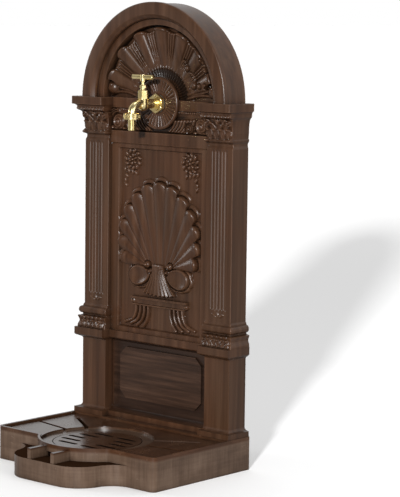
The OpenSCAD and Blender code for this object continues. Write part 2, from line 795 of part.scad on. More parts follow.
module crown_front() {
  half = shaft_w / 2;
  color(brown) placed() difference() {
    union() {
      both_sides()
        course(pilaster_x, half, shaft_d, cornice_profile, 3.5,
          (cornice_w - shaft_w) / 2, cornice_d - shaft_d);
      course(-pilaster_x - 1, pilaster_x + 1, cornice_wall_d - 2.5, fascia_profile, 1, 1, 2.5);
      bead_row();
      arch_ring();
      half_ring(0, tympanum_r + 1, 0, tympanum_d);
      fan();
      rosette_pad(seam_z, far * 3);
    }
    difference() {
      crown_hollow();
      bosses(crown_screws, arch_d - shell_t + 1);
      join_bosses(seam_z);
    }
    pilots(crown_screws);
    join_holes(seam_z - 1, pilot_r, 12);
    hose_slot(seam_z - 1);
    rod(0, tap_z, 10, rosette_back + 5, tail_r + 0.4);
  }
}

// Half of the pad behind the rosette: the joint of the mouldings crosses it
module rosette_pad(z0, z1) {
  intersection() {
    rod(0, tap_z, tympanum_d - shell_t, rosette_back, pad_r);
    block(-far, far, 0, far, z0, z1);
  }
}

module crown_hollow() {
  half = shaft_w / 2 - shell_t;
  z0 = seam_z + flange_t;
  z1 = cornice_z + 1;
  block(-half + 7, half - 7, -1, tympanum_d - shell_t, z0, z1);
  block(-half, half, -1, cover_t + 4, z0, cornice_z);
  block(-pilaster_x, pilaster_x, -1, cornice_wall_d - 2.5 - shell_t, z0, cornice_z - shell_t);
  both_sides() {
    block(pilaster_x + shell_t, half - 7, -1, shaft_d, z0, cornice_z - shell_t);
    block(pilaster_x + shell_t, half + 4, cover_t + 4, cornice_d - shell_t,
      cornice_z - 13.5, cornice_z - shell_t);
  }
  half_ring(0, tympanum_r - 1, -1, tympanum_d - shell_t);
  half_ring(0, arch_r - 2.2 - shell_t, -1, cover_t + 0.3);
  half_ring(tympanum_r + shell_t, tympanum_r + 11, -1, arch_d - 15 - shell_t);
  half_ring(tympanum_r + 5, arch_r - 2.2 - shell_t, -1, arch_d - shell_t);
  intersection() {
    rod(0, tap_z, -1, rosette_back - shell_t, pad_r - shell_t);
    block(-far, far, -2, far, z0, far * 3);
  }
}

module bead_row() {
  pitch = 6.3;
  count = floor((pilaster_x - rosette_r - 3) / pitch);
  both_sides() for (i = [0:count - 1])
    translate([pilaster_x - 3 - pitch * i, -(cornice_wall_d - 2), seam_z + 5.5]) sphere(r = 2.5);
}

// Fine rib of the fan between two lobes
module flute_rib(a) {
  translate([0, -(tympanum_d - 0.4), tap_z]) rotate([0, 90 - a, 0])
    translate([0, 0, rosette_r + 6]) cylinder(h = tympanum_r - rosette_r - 14, r1 = 1.1, r2 = 2.6);
}

// Smooth lobes that spread from behind the rosette, with fluted fields between
module fan() {
  step = 147 / fan_lobes;
  intersection() {
    union() {
      for (i = [0:fan_lobes - 1])
        lobe(0, tap_z + 4, tympanum_d - 4, 90 + step * (i - (fan_lobes - 1) / 2), tympanum_r - 25.7, 5, 13);
      for (i = [1:fan_lobes - 1]) for (j = [0:fan_flutes - 1])
        flute_rib(90 + step * (i - fan_lobes / 2) + 2.6 * (j - (fan_flutes - 1) / 2));
      both_sides() {
        rod(tympanum_r - 17, cornice_z + 15, tympanum_d - 2, tympanum_d + 10, 11);
        rod(tympanum_r - 17, cornice_z + 15, tympanum_d - 2, tympanum_d + 12.5, 5);
        rod(tympanum_r - 50, cornice_z + 25, tympanum_d - 2, tympanum_d + 8, 9);
      }
    }
    half_ring(30, tympanum_r + 0.5, tympanum_d - 1, tympanum_d + 13);
  }
}

module crown_back() {
  z0 = seam_z + flange_t + cover_gap;
  r = arch_r - 2.2 - shell_t - cover_gap;
  half = shaft_w / 2 - shell_t - cover_gap;
  color(dark_brown) placed() difference() {
    union() {
      block(-half, half, 0, cover_t, z0, cornice_z - cover_gap);
      intersection() {
        rod(0, cornice_z, 0, cover_t, r);
        block(-far, far, -1, far, cornice_z - 3, far * 3);
      }
      for (x = [-70, 70])
        block(x - 1.5, x + 1.5, cover_t - 1, cover_t + 5, z0 + 6, cornice_z + tympanum_r - 30);
    }
    cover_holes(crown_screws);
  }
}

module cover_screws() {
  color(steel) placed() for (p = concat(pedestal_screws, shaft_screws, crown_screws))
    translate([p[0], -0.2, p[1]]) rotate([90, 0, 0]) screw(cover_screw_l);
}

module assembly_screws() {
  color(steel) placed() {
    for (x = join_x) {
      translate([x, -join_d, ledge_z - flange_t - head_h]) screw(join_screw_l);
      translate([x, -join_d, seam_z - flange_t - head_h]) screw(join_screw_l);
    }
    for (x = tray_screw_x) translate([x, -tray_screw_d, tray_h - 5 - head_h]) screw(tray_screw_l);
  }
}

// Tap

module tap_rosette() {
  step = 360 / rosette_ridges;
  color(brown) placed() translate([0, 0, tap_z]) difference() {
    union() {
      rod(0, 0, rosette_back, rosette_back + 3, rosette_r);
      translate([0, -(rosette_back + 3), 0]) rotate([90, 0, 0])
        rotate_extrude($fn = 128) translate([rosette_r - 3, 0]) circle(r = 3);
      rod(0, 0, rosette_back, rosette_rim - 2, 22);
      for (i = [0:rosette_ridges - 1])
        translate([0, -(rosette_back + 2), 0]) rotate([0, step * i, 0])
          translate([0, 0, 20]) cylinder(h = rosette_r - 24, r1 = 1.7, r2 = 3.7, $fn = 24);
    }
    rod(0, 0, rosette_back - 5, far, tail_r + 0.3);
    rod(0, 0, 0, rosette_back, far / 4);
  }
}

module flange_gasket() {
  color(rubber) placed() translate([0, 0, tap_z]) difference() {
    rod(0, 0, rosette_rim - 2, rosette_rim - 0.5, 16);
    rod(0, 0, 0, far, tail_r + 0.1);
  }
}

// Six-sided wall flange with points up and down and a raised round collar
module wall_flange() {
  color(brass) placed() translate([0, -(rosette_rim - 0.5), tap_z]) rotate([90, 0, 0]) difference() {
    union() {
      rotate([0, 0, 30]) cylinder(h = 6, r = 17.5, $fn = 6);
      cylinder(h = flange_face - rosette_rim + 2, r1 = 14.5, r2 = 12.4);
      for (i = [0:5]) rotate([0, 0, 60 * i]) translate([0, 12.2, 3]) sphere(r = 4);
    }
    translate([0, 0, -5]) cylinder(h = 30, r = tail_r + 0.1);
    translate([0, 0, -20]) cylinder(h = 20, r = 30);
  }
}

// Point and bend of the spout in the plane x = 0
bend_d = outlet_d - spout_bend * (1 - sin(spout_slope));
bend_z = nut_z + spout_bend * cos(spout_slope);
spout_run = (bend_d - spindle_d) / cos(spout_slope);

module spout_solid(r, run) {
  // Straight run from the valve chamber, a hair thinner than the bend it enters
  translate([0, -bend_d, bend_z]) rotate([spout_slope - 90, 0, 0])
    translate([0, 0, -0.3]) cylinder(h = run + 0.3, r = r - eps);
  // Bend down to the outlet
  translate([0, -(outlet_d - spout_bend), nut_z]) rotate([0, 0, -90]) rotate([90, 0, 0])
    rotate_extrude(angle = 90 - spout_slope, $fn = 96) translate([spout_bend, 0]) circle(r = r);
}

module tap_body() {
  color(brass) placed() difference() {
    union() {
      rod(0, tap_z, tail_in, flange_face + 3, tail_r);
      rod(0, tap_z, flange_face + 1, spindle_d, 8.5);
      rod(0, tap_z, flange_face + 1, flange_face + 5, 10.2);
      translate([0, -spindle_d, tap_z - 3]) cylinder(h = body_top - tap_z + 3, r = 9.2);
      translate([0, -spindle_d, tap_z - 3]) sphere(r = 9.2);
      spout_solid(spout_r, spout_run);
      translate([0, -outlet_d, nut_z - 3]) cylinder(h = 3, r = spout_r);
      translate([0, -outlet_d, outlet_end]) cylinder(h = nut_z - outlet_end - 1, r = outlet_r);
    }
    // Inlet way, seat port, valve chamber and the way out
    rod(0, tap_z, tail_in - 1, spindle_d, way_r);
    translate([0, -spindle_d, tap_z]) sphere(r = way_r);
    translate([0, -spindle_d, tap_z]) cylinder(h = 20, r = way_r - 1);
    translate([0, -spindle_d, seat_z]) cylinder(h = 20, r = 7.2);
    translate([0, -spindle_d, body_top]) cylinder(h = 20, r = 9.6);
    spout_solid(way_r, spout_run - 6.2 / cos(spout_slope));
    translate([0, -outlet_d, outlet_end - 1]) cylinder(h = nut_z - outlet_end + 1, r = way_r);
  }
}

module bonnet() {
  color(brass) placed() translate([0, -spindle_d, body_top]) difference() {
    union() {
      cylinder(h = bonnet_h, r = 9, $fn = 6);
      translate([0, 0, bonnet_h - 3]) cylinder(h = 4.5, r1 = 7.6, r2 = 5.6);
      translate([0, 0, bonnet_h]) cylinder(h = neck_h, r = 5);
      translate([0, 0, -3]) cylinder(h = 4, r = 7.1);
    }
    translate([0, 0, -4]) cylinder(h = bonnet_h + neck_h + 8, r = spindle_r + run_gap);
    translate([0, 0, -4]) cylinder(h = 4 + disc_room, r = jumper_r + 0.5);
    translate([0, 0, -4]) cylinder(h = 4 + disc_room + foot_h, r = foot_r + 0.4);
    translate([0, 0, bonnet_h + neck_h - 3]) cylinder(h = 8, r = 4.3);
  }
}

module gland_packing() {
  color(rubber) placed() translate([0, -spindle_d, neck_top - 3]) difference() {
    cylinder(h = 2.5, r = 4.25);
    translate([0, 0, -1]) cylinder(h = 5, r = spindle_r + run_gap);
  }
}

module gland_nut() {
  color(brass) placed() translate([0, -spindle_d, neck_top - 3]) difference() {
    union() {
      translate([0, 0, 0.5]) cylinder(h = gland_h, r = 6.2, $fn = 6);
      translate([0, 0, gland_h]) cylinder(h = 1.6, r1 = 5, r2 = 4.2);
    }
    translate([0, 0, -1]) cylinder(h = 10, r = spindle_r + run_gap);
    translate([0, 0, -1]) cylinder(h = 4, r = 5.05);
  }
}

module spindle() {
  color(brass) placed() translate([0, -spindle_d, 0]) difference() {
    union() {
      translate([0, 0, spindle_foot]) cylinder(h = handle_z - spindle_foot, r = spindle_r);
      translate([0, 0, spindle_foot]) cylinder(h = foot_h, r = foot_r);
    }
    translate([0, 0, spindle_foot - 1]) cylinder(h = 7, r = 2 + run_gap);
    translate([0, 0, handle_z - 6]) cylinder(h = 8, r = 1.3);
  }
}

module tee_handle() {
  half = handle_l / 2;
  color(brass) placed() translate([0, -spindle_d, 0]) difference() {
    union() {
      translate([-half + 1.2, 0, handle_z]) rotate([0, 90, 0]) cylinder(h = handle_l - 2.4, r = handle_r);
      for (s = [-1, 1]) translate([s * (half - 1.25), 0, handle_z]) rotate([0, 90 * s, 0])
        cylinder(h = 1.25, r1 = handle_r, r2 = handle_r - 1.2);
      translate([0, 0, hub_z]) cylinder(h = handle_z - hub_z + handle_r - 0.2, r = 5.1);
    }
    translate([0, 0, hub_z - 1]) cylinder(h = handle_z - hub_z + 1, r = spindle_r);
    translate([0, 0, handle_z - 1]) cylinder(h = 10, r = 1.6);
    translate([0, 0, handle_z + handle_r - 1.8]) cylinder(h = 10, r = 2.8);
  }
}

module handle_screw() {
  color(steel) placed() translate([0, -spindle_d, 0]) difference() {
    union() {
      translate([0, 0, handle_z + handle_r - 1.8]) cylinder(h = 1.8, r = 2.6);
      translate([0, 0, handle_z - 5]) cylinder(h = handle_r + 4, r = 1.25);
    }
    translate([-0.4, -5, handle_z + handle_r - 0.8]) cube([0.8, 10, 5]);
  }
}

module jumper_valve() {
  color(brass) placed() translate([0, -spindle_d, seat_z + washer_t]) {
    cylinder(h = jumper_t, r = jumper_r);
    cylinder(h = jumper_t + 5, r = 2);
    translate([0, 0, -washer_t]) cylinder(h = washer_t + 1, r = 1.6);
  }
}

module seat_washer() {
  color(rubber) placed() translate([0, -spindle_d, seat_z]) difference() {
    cylinder(h = washer_t, r = jumper_r - 0.2);
    translate([0, 0, -1]) cylinder(h = washer_t + 2, r = 1.65);
  }
}

module union_nut() {
  ribs = 24;
  color(brass) placed() translate([0, -outlet_d, nut_low]) difference() {
    union() {
      cylinder(h = nut_h, r = nut_r - 0.5);
      for (z = [0.6, nut_h - 2.6]) translate([0, 0, z]) cylinder(h = 2, r = nut_r - 0.1);
      for (i = [0:ribs - 1]) rotate([0, 0, 360 / ribs * i])
        translate([nut_r - 0.75, 0, 1]) cylinder(h = nut_h - 2, r = 0.75, $fn = 24);
    }
    translate([0, 0, collar_z - nut_low]) cylinder(h = nut_h, r = outlet_r + run_gap);
    translate([0, 0, -1]) cylinder(h = nut_h, r = shoulder_r + 0.5);
  }
}

module union_washer() {
  color(rubber) placed() translate([0, -outlet_d, outlet_end - union_t]) difference() {
    cylinder(h = union_t, r = outlet_r - 0.4);
    translate([0, 0, -1]) cylinder(h = union_t + 2, r = way_r + 1);
  }
}

module hose_tail() {
  color(brass) placed() translate([0, -outlet_d, 0]) difference() {
    union() {
      translate([0, 0, collar_z]) cylinder(h = collar_t, r = outlet_r - 0.3);
      translate([0, 0, shoulder_z]) cylinder(h = collar_z - shoulder_z + 0.5, r = shoulder_r);
      translate([0, 0, tail_end]) cylinder(h = shoulder_z - tail_end + 0.5, r = hose_r);
      translate([0, 0, tail_end - 0.8]) cylinder(h = 0.8, r1 = hose_r - 0.6, r2 = hose_r - eps);
    }
    translate([0, 0, tail_end - 2]) cylinder(h = collar_z - tail_end + 6, r = way_r);
  }
}

module back_nut() {
  color(brass) placed() translate([0, -(rosette_back - shell_t), tap_z]) rotate([-90, 0, 0]) difference() {
    cylinder(h = 5, r = 15.6, $fn = 6);
    translate([0, 0, -1]) cylinder(h = 8, r = tail_r + 0.1);
  }
}

// Supply

module tap_elbow() {
  color(brass) placed() difference() {
    union() {
      rod(0, tap_z, riser_d, rosette_back - shell_t - 5.3, 9.4);
      rod(0, tap_z, tail_in - 1, rosette_back - shell_t - 5.3, 12.8);
      translate([0, -riser_d, tap_z]) sphere(r = 9.4);
      translate([0, -riser_d, tap_z - 14]) cylinder(h = 14, r = 8.2);
      translate([0, -riser_d, riser_top - hose_hold]) cylinder(h = hose_hold + 2, r = riser_bore);
    }
    rod(0, tap_z, tail_in - eps, far, tail_r + 0.05);
    rod(0, tap_z, riser_d, far, way_r);
    translate([0, -riser_d, tap_z]) sphere(r = way_r);
    translate([0, -riser_d, riser_top - hose_hold - 2])
      cylinder(h = tap_z - riser_top + hose_hold + 2, r = way_r);
  }
}

module riser_hose() {
  color(hose_green) placed() translate([0, -riser_d, riser_low]) difference() {
    cylinder(h = riser_top - riser_low, r = riser_r);
    translate([0, 0, -1]) cylinder(h = riser_top - riser_low + 2, r = riser_bore);
  }
}

module hose_clamps() {
  width = 8;
  places = [riser_top - 0.75 * hose_hold, riser_low + 0.3 * hose_hold];
  color(steel) placed() for (z = places) translate([0, -riser_d, z]) difference() {
    union() {
      cylinder(h = width, r = riser_r + 0.9);
      translate([riser_r - 2, -3, 0.5]) cube([6, 6, width - 1]);
    }
    translate([0, 0, -1]) cylinder(h = width + 2, r = riser_r);
  }
}

// Two saddles that hold the riser to the inside of the panel
module riser_clips() {
  color(dark_brown) placed() for (z = [ledge_z + 0.28 * shaft_h, ledge_z + 0.69 * shaft_h]) difference() {
    union() {
      translate([0, -riser_d, z]) cylinder(h = 10, r = riser_r + 1.6);
      block(-riser_r - 6, riser_r + 6, riser_d + 4, panel_floor_d - shell_t, z, z + 10);
    }
    translate([0, -riser_d, z - 1]) cylinder(h = 12, r = riser_r);
    block(-riser_r + 2, riser_r - 2, 0, riser_d, z - 1, z + 11);
  }
}

module inlet_connector() {
  color(brass) placed() translate([0, -riser_d, 0]) difference() {
    union() {
      translate([0, 0, inlet_z]) cylinder(h = inlet_l + 1, r = inlet_r);
      translate([0, 0, inlet_z + inlet_l]) cylinder(h = hex_h, r = 10.4, $fn = 6);
      translate([0, 0, inlet_z + inlet_l + 1]) cylinder(h = hex_h - 1 + hose_hold, r = riser_bore);
    }
    translate([0, 0, inlet_z - 1]) cylinder(h = inlet_l + hex_h + hose_hold + 2, r = way_r);
  }
}

base_tray();
drain_grate();
pedestal_front();
pedestal_back();
shaft_front();
shaft_back();
crown_front();
crown_back();
cover_screws();
assembly_screws();
tap_rosette();
flange_gasket();
wall_flange();
tap_body();
bonnet();
gland_packing();
gland_nut();
spindle();
tee_handle();
handle_screw();
jumper_valve();
seat_washer();
union_nut();
union_washer();
hose_tail();
back_nut();
tap_elbow();
riser_hose();
hose_clamps();
riser_clips();
inlet_connector();
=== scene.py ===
import json
import math
import bpy
import numpy as np
from mathutils import Matrix, Vector


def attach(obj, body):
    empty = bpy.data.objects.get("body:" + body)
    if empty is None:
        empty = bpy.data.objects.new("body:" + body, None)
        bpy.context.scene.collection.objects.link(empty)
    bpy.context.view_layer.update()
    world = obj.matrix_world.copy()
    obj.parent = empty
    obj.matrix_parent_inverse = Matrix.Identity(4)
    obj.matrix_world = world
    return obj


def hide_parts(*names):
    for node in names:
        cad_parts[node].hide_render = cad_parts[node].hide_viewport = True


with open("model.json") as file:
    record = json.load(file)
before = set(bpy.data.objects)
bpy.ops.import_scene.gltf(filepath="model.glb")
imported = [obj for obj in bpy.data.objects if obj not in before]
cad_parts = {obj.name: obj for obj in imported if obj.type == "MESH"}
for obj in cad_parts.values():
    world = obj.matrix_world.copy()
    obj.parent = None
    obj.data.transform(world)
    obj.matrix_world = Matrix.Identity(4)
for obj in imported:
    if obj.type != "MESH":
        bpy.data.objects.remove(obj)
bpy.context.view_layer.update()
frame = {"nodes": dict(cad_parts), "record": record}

# Sizes of the part's source, in mm. d is the distance in front of the back plane.
HALF_DEPTH = 160.0
GRATE_D = 183.0
LEDGE_Z = 214.5
SEAM_Z = 604.0
CORNICE_Z = 631.3
TAP_Z = 624.7
SHAFT_HALF = 174.45
SHAFT_D = 40.6
PILASTER_X = 116.6
WALL_D = 32.6
PANEL_X = 98.5
PANEL_T = 6.0
FRIEZE_D = 30.0
CORNICE_HALF = 186.0
CORNICE_D = 64.8
CORNICE_WALL_D = 34.0
ARCH_R = 168.7
ARCH_D = 56.9
TYMPANUM_R = 128.7
TYMPANUM_D = 22.0
ROSETTE_R = 45.9
SHELL_T = 3.5
FLANGE_T = 4.0
# How far the inner face of a rim is drawn, past the covers, and the notch for the riser in a flange
COVER_D = 4.0
NOTCH_X = 30.0
NOTCH_D = 23.5


# Small tools

def cosd(degrees):
    return math.cos(math.radians(degrees))


def sind(degrees):
    return math.sin(math.radians(degrees))


def step01(a, b, x):
    """Smooth step from 0 at a to 1 at b."""
    t = np.clip((x - a) / (b - a), 0.0, 1.0)
    return t * t * (3.0 - 2.0 * t)


def dome(q):
    """Round section: 1 in the middle, 0 where q reaches 1."""
    return np.sqrt(np.clip(1.0 - q, 0.0, 1.0))


def roll_off(lip, share, power):
    """Factor that rounds an edge down while lip runs from 0 to 1."""
    return np.sqrt(np.clip(1 - share * lip ** power, 0, 1))


def blob(x, z, cx, cz, rx, rz, h, turn=0.0):
    """Rounded bump; rx runs along the direction turn, in degrees from +x."""
    c, s = cosd(turn), sind(turn)
    u = ((x - cx) * c + (z - cz) * s) / rx
    v = (-(x - cx) * s + (z - cz) * c) / rz
    return h * dome(u * u + v * v)


def curl(q, r, h, dip, at, wide):
    """Domed eye of radius r and height h, with a sunk ring at the distance at."""
    return h * dome((q / r) ** 2) - dip * np.exp(-((q - at) / wide) ** 2)


def rib(x, z, pts, w0, w1, h0, h1):
    """Round rib along a line of points, whose width and height change from start to end."""
    out = np.zeros_like(x)
    pts = [np.array(p, float) for p in pts]
    run = [0.0]
    for a, b in zip(pts, pts[1:]):
        run.append(run[-1] + float(np.hypot(*(b - a))))
    for i, (a, b) in enumerate(zip(pts, pts[1:])):
        ab = b - a
        t = np.clip(((x - a[0]) * ab[0] + (z - a[1]) * ab[1]) / float(ab @ ab), 0, 1)
        dist = np.hypot(x - a[0] - t * ab[0], z - a[1] - t * ab[1])
        s = (run[i] + t * (run[i + 1] - run[i])) / run[-1]
        w = w0 + (w1 - w0) * s
        out = np.maximum(out, (h0 + (h1 - h0) * s) * dome((dist / w) ** 2))
    return out


def smooth_line(pts, steps):
    """Catmull-Rom line through the points, with so many steps from each to the next."""
    p = [np.array(q, float) for q in pts]
    p = [2 * p[0] - p[1]] + p + [2 * p[-1] - p[-2]]
    out = []
    for i in range(1, len(p) - 2):
        for k in range(steps):
            t = k / steps
            out.append(0.5 * (2 * p[i] + (p[i + 1] - p[i - 1]) * t
                              + (2 * p[i - 1] - 5 * p[i] + 4 * p[i + 1] - p[i + 2]) * t * t
                              + (3 * p[i] - p[i - 1] - 3 * p[i + 1] + p[i + 2]) * t ** 3))
    out.append(p[-2])
    return out


def leaf(x, z, cx, z0, half, tall, h):
    """Upright leaf with a mid rib, a lobed edge and a curled tip."""
    v = (z - z0) / tall
    u = (x - cx) / half
    edge = np.clip(np.sin(np.clip(v, 0, 1) * math.pi * 0.86 + 0.42), 0, 1) ** 0.7
    edge = edge * (0.86 + 0.14 * np.abs(np.cos(v * 9.5)))
    inside = dome((u / np.maximum(edge, 1e-3)) ** 2) * (v > -0.02) * (v < 1.02)
    rise = 0.38 + 0.25 * v + 0.75 * np.exp(-((v - 0.86) / 0.13) ** 2)
    vein = 0.10 * np.cos(u * 13.0 + 5.0 * v) * (1 - np.abs(np.clip(u, -1, 1)))
    mid = 0.12 * np.exp(-(u / 0.14) ** 2)
    return h * inside * np.clip(rise + vein + mid, 0, 2) * dome(np.clip((v - 0.9) / 0.12, 0, 1) ** 2)


# Meshes

def put(name, data):
    """Object for the data, linked into the scene."""
    ob = bpy.data.objects.new(name, data)
    bpy.context.scene.collection.objects.link(ob)
    return ob


def to_world(x, d, z):
    return np.stack([x / 1000.0, (HALF_DEPTH - d) / 1000.0, z / 1000.0], -1)


def mesh_from_arrays(name, verts, faces, mat):
    """Smooth mesh of quads, with edges sharper than 40 degrees kept sharp."""
    me = bpy.data.meshes.new(name)
    count = len(faces)
    me.vertices.add(len(verts))
    me.vertices.foreach_set("co", np.asarray(verts, np.float32).ravel())
    me.loops.add(count * 4)
    me.loops.foreach_set("vertex_index", np.asarray(faces, np.int32).ravel())
    me.polygons.add(count)
    me.polygons.foreach_set("loop_start", np.arange(0, count * 4, 4, dtype=np.int32))
    me.update(calc_edges=True)
    me.validate()
    me.polygons.foreach_set("use_smooth", np.ones(len(me.polygons), bool))
    me.set_sharp_from_angle(angle=math.radians(40.0))
    me.materials.append(mat)
    return put(name, me)


def grid_faces(rows, cols, start, flip):
    a = start + np.arange(rows - 1)[:, None] * cols + np.arange(cols - 1)[None, :]
    q = np.stack([a, a + 1, a + 1 + cols, a + cols], -1).reshape(-1, 4)
    return q[:, ::-1] if flip else q


class Shape:
    """Collects several sheets of quads into one mesh."""

    # In metres; a wrapped sheet faces away from the upright line through this point
    MIDDLE = np.array([0.0, 0.150, 0.0])

    def __init__(self):
        self.v, self.f, self.n = [], [], 0

    def sheet(self, x, d, z, toward=None):
        """toward is the direction (x, forward, up) that most of the sheet faces."""
        x, d, z = np.broadcast_arrays(x, d, z)
        rows, cols = x.shape
        p = to_world(x, d, z)
        if toward is None:
            away = (p - self.MIDDLE)[:-1, :-1]
            away[..., 2] = 0
        else:
            away = np.array([toward[0], -toward[1], toward[2]], float)
        normal = np.cross(p[:-1, 1:] - p[:-1, :-1], p[1:, :-1] - p[:-1, :-1])
        self.v.append(p.reshape(-1, 3))
        self.f.append(grid_faces(rows, cols, self.n, flip=float((normal * away).sum()) < 0))
        self.n += rows * cols

    def upright(self, x0, x1, d0, d1, z0, z1, toward):
        """Rectangle that stands on the line from x0, d0 to x1, d1."""
        self.sheet(np.array([[x0, x1], [x0, x1]]), np.array([[d0, d1], [d0, d1]]),
                   np.array([[z0, z0], [z1, z1]]), toward)

    def flange_back(self, z0, z1):
        """Edge of a flange seen from behind, with the notch for the riser."""
        edge = SHAFT_HALF - SHELL_T
        for sx in (-1, 1):
            self.upright(sx * NOTCH_X, sx * edge, 0, 0, z0, z1, (0, -1, 0))
            self.upright(sx * NOTCH_X, sx * NOTCH_X, 0, NOTCH_D, z0, z1, (-sx, 0, 0))
        self.upright(-NOTCH_X, NOTCH_X, NOTCH_D, NOTCH_D, z0, z1, (0, -1, 0))

    def wrap(self, zs, side, front, inward, middle, flanges):
        """Moulding with its flanges and its level ends.

        side, front and inward are the (x, d) columns of the right half, from its back edge to the
        middle part. The left half is their mirror image.
        """
        edge = np.full((len(zs), 1), SHAFT_HALF - SHELL_T)
        back = np.zeros((len(zs), 1))
        half = [(edge, back + COVER_D), (edge, back), side, front, inward]
        x = np.concatenate([-a for a, b in half] + [middle[0][:, 1:-1]]
                           + [a[:, ::-1] for a, b in reversed(half)], 1)
        d = np.concatenate([b for a, b in half] + [middle[1][:, 1:-1]]
                           + [b[:, ::-1] for a, b in reversed(half)], 1)
        self.sheet(x, d, np.broadcast_to(zs[:, None], x.shape))
        for z0, z1 in flanges:
            self.flange_back(z0, z1)
        skip = 2 + side[0].shape[1]
        face = slice(skip, x.shape[1] - skip)
        for row, up in ((0, -1), (-1, 1)):
            self.sheet(np.stack([x[row, face]] * 2), np.stack([d[row, face], np.zeros_like(d[row, face])]),
                       np.full((2, 1), zs[row]), (0, 0, up))

    def build(self, name, mat):
        return mesh_from_arrays(name, np.concatenate(self.v), np.concatenate(self.f), mat)


# Shader tools

def new_material(name):
    mat = bpy.data.materials.new(name)
    mat.use_nodes = True
    nt = mat.node_tree
    nt.nodes.clear()
    out = nt.nodes.new("ShaderNodeOutputMaterial")
    return mat, nt, out


def principled(name):
    mat, nt, out = new_material(name)
    bsdf = nt.nodes.new("ShaderNodeBsdfPrincipled")
    nt.links.new(bsdf.outputs[0], out.inputs[0])
    return mat, nt, bsdf


def add(nt, kind, **props):
    """New node; a name that starts with in_ sets the input of that name or number."""
    n = nt.nodes.new(kind)
    for k, v in props.items():
        if k.startswith("in_"):
            key = k[3:]
            n.inputs[int(key) if key.isdigit() else key].default_value = v
        else:
            setattr(n, k, v)
    return n


def feed(nt, sock, val):
    """Links an output to the socket, or sets it to a constant."""
    if hasattr(val, "links"):
        nt.links.new(val, sock)
    else:
        sock.default_value = (*val, 1.0) if isinstance(val, tuple) else val


def ramp(nt, src, stops):
    n = nt.nodes.new("ShaderNodeValToRGB")
    while len(n.color_ramp.elements) < len(stops):
        n.color_ramp.elements.new(0.5)
    for e, (p, c) in zip(n.color_ramp.elements, stops):
        e.position = p
        e.color = (*c, 1.0)
    nt.links.new(src, n.inputs[0])
    return n.outputs[0]


def noise(nt, stretch, scale, detail, rough=0.55):
    """Noise on the object's own coordinates, in metres times stretch."""
    tc = add(nt, "ShaderNodeTexCoord")
    mp = add(nt, "ShaderNodeMapping")
    mp.inputs["Scale"].default_value = stretch
    nt.links.new(tc.outputs["Object"], mp.inputs[0])
    n = add(nt, "ShaderNodeTexNoise", in_Scale=scale, in_Detail=detail, in_Roughness=rough)
    nt.links.new(mp.outputs[0], n.inputs["Vector"])
    return n.outputs["Fac"]


def spread(nt, src, a, b, c=0.0, d=1.0):
    """Runs from c to d while src runs from a to b."""
    n = add(nt, "ShaderNodeMapRange", in_1=a, in_2=b, in_3=c, in_4=d)
    nt.links.new(src, n.inputs[0])
    return n.outputs[0]


def math_node(nt, op, a, b=0.0):
    n = add(nt, "ShaderNodeMath", operation=op)
    feed(nt, n.inputs[0], a)
    feed(nt, n.inputs[1], b)
    return n.outputs[0]


def product(nt, a, b):
    return math_node(nt, "MULTIPLY", a, b)


def mix_rgb(nt, fac, a, b, mode="MIX"):
    n = nt.nodes.new("ShaderNodeMix")
    n.data_type = "RGBA"
    n.blend_type = mode
    feed(nt, n.inputs[0], fac)
    feed(nt, n.inputs[6], a)
    feed(nt, n.inputs[7], b)
    return n.outputs[2]


def bump(nt, height, strength, reach, under=None):
    n = add(nt, "ShaderNodeBump", in_Strength=strength, in_Distance=reach)
    nt.links.new(height, n.inputs["Height"])
    if under is not None:
        nt.links.new(under, n.inputs["Normal"])
    return n.outputs[0]


# Masks: 0 where the tone doesn't show, and up to 1 where it covers. Distances are in metres.

def position(nt):
    tc = add(nt, "ShaderNodeTexCoord")
    xyz = add(nt, "ShaderNodeSeparateXYZ")
    nt.links.new(tc.outputs["Object"], xyz.inputs[0])
    return xyz.outputs


def distance(nt, a, b):
    return math_node(nt, "SQRT", math_node(nt, "ADD", product(nt, a, a), product(nt, b, b)))


def from_grate(nt):
    """Distance from the axis of the grate, and the height."""
    x, y, z = position(nt)
    return distance(nt, x, math_node(nt, "SUBTRACT", y, (HALF_DEPTH - GRATE_D) / 1000)), z


def wall_shade_mask(nt):
    """The recessed wall of the pedestal between its two blocks, which gets a darker tone as painted shade.
    """
    at = position(nt)
    side = spread(nt, math_node(nt, "ABSOLUTE", at[0]), 0.114, 0.118, 1.0, 0.0)
    return product(nt, side, spread(nt, at[1], 0.126, 0.131))


def margin_shade_mask(nt):
    """The sunk margin round the raised field of that wall, coloured near black as painted shade."""
    at = position(nt)
    side = spread(nt, math_node(nt, "ABSOLUTE", at[0]), 0.106, 0.116, 1.0, 0.25)
    return product(nt, side, spread(nt, at[1], 0.1336, 0.1366, 0.0, 0.55))


def sump_shade_mask(nt):
    """What lies below the grate, inside its ring, coloured near black as painted shade."""
    r, z = from_grate(nt)
    return product(nt, spread(nt, r, 0.0970, 0.0978, 1.0, 0.0), spread(nt, z, 0.0488, 0.0497, 1.0, 0.0))


def low_level_shade_and_matte_mask(nt):
    """Level faces of the tray that lie below its pads, outside the ring of the grate: darkened as painted
    shade, and made matte.
    """
    r, z = from_grate(nt)
    up = add(nt, "ShaderNodeSeparateXYZ")
    nt.links.new(add(nt, "ShaderNodeNewGeometry").outputs["True Normal"], up.inputs[0])
    level = spread(nt, up.outputs[2], 0.80, 0.95)
    low = product(nt, spread(nt, z, 0.0528, 0.0538, 1.0, 0.0), spread(nt, r, 0.0985, 0.0995))
    return product(nt, level, low)


def slot_shade_mask(nt):
    """Walls of the slots, but not the outer edge of the grate, coloured near black as painted shade."""
    r, z = from_grate(nt)
    return product(nt, spread(nt, r, 0.0745, 0.0750, 1.0, 0.0), spread(nt, z, 0.0492, 0.0498, 1.0, 0.0))


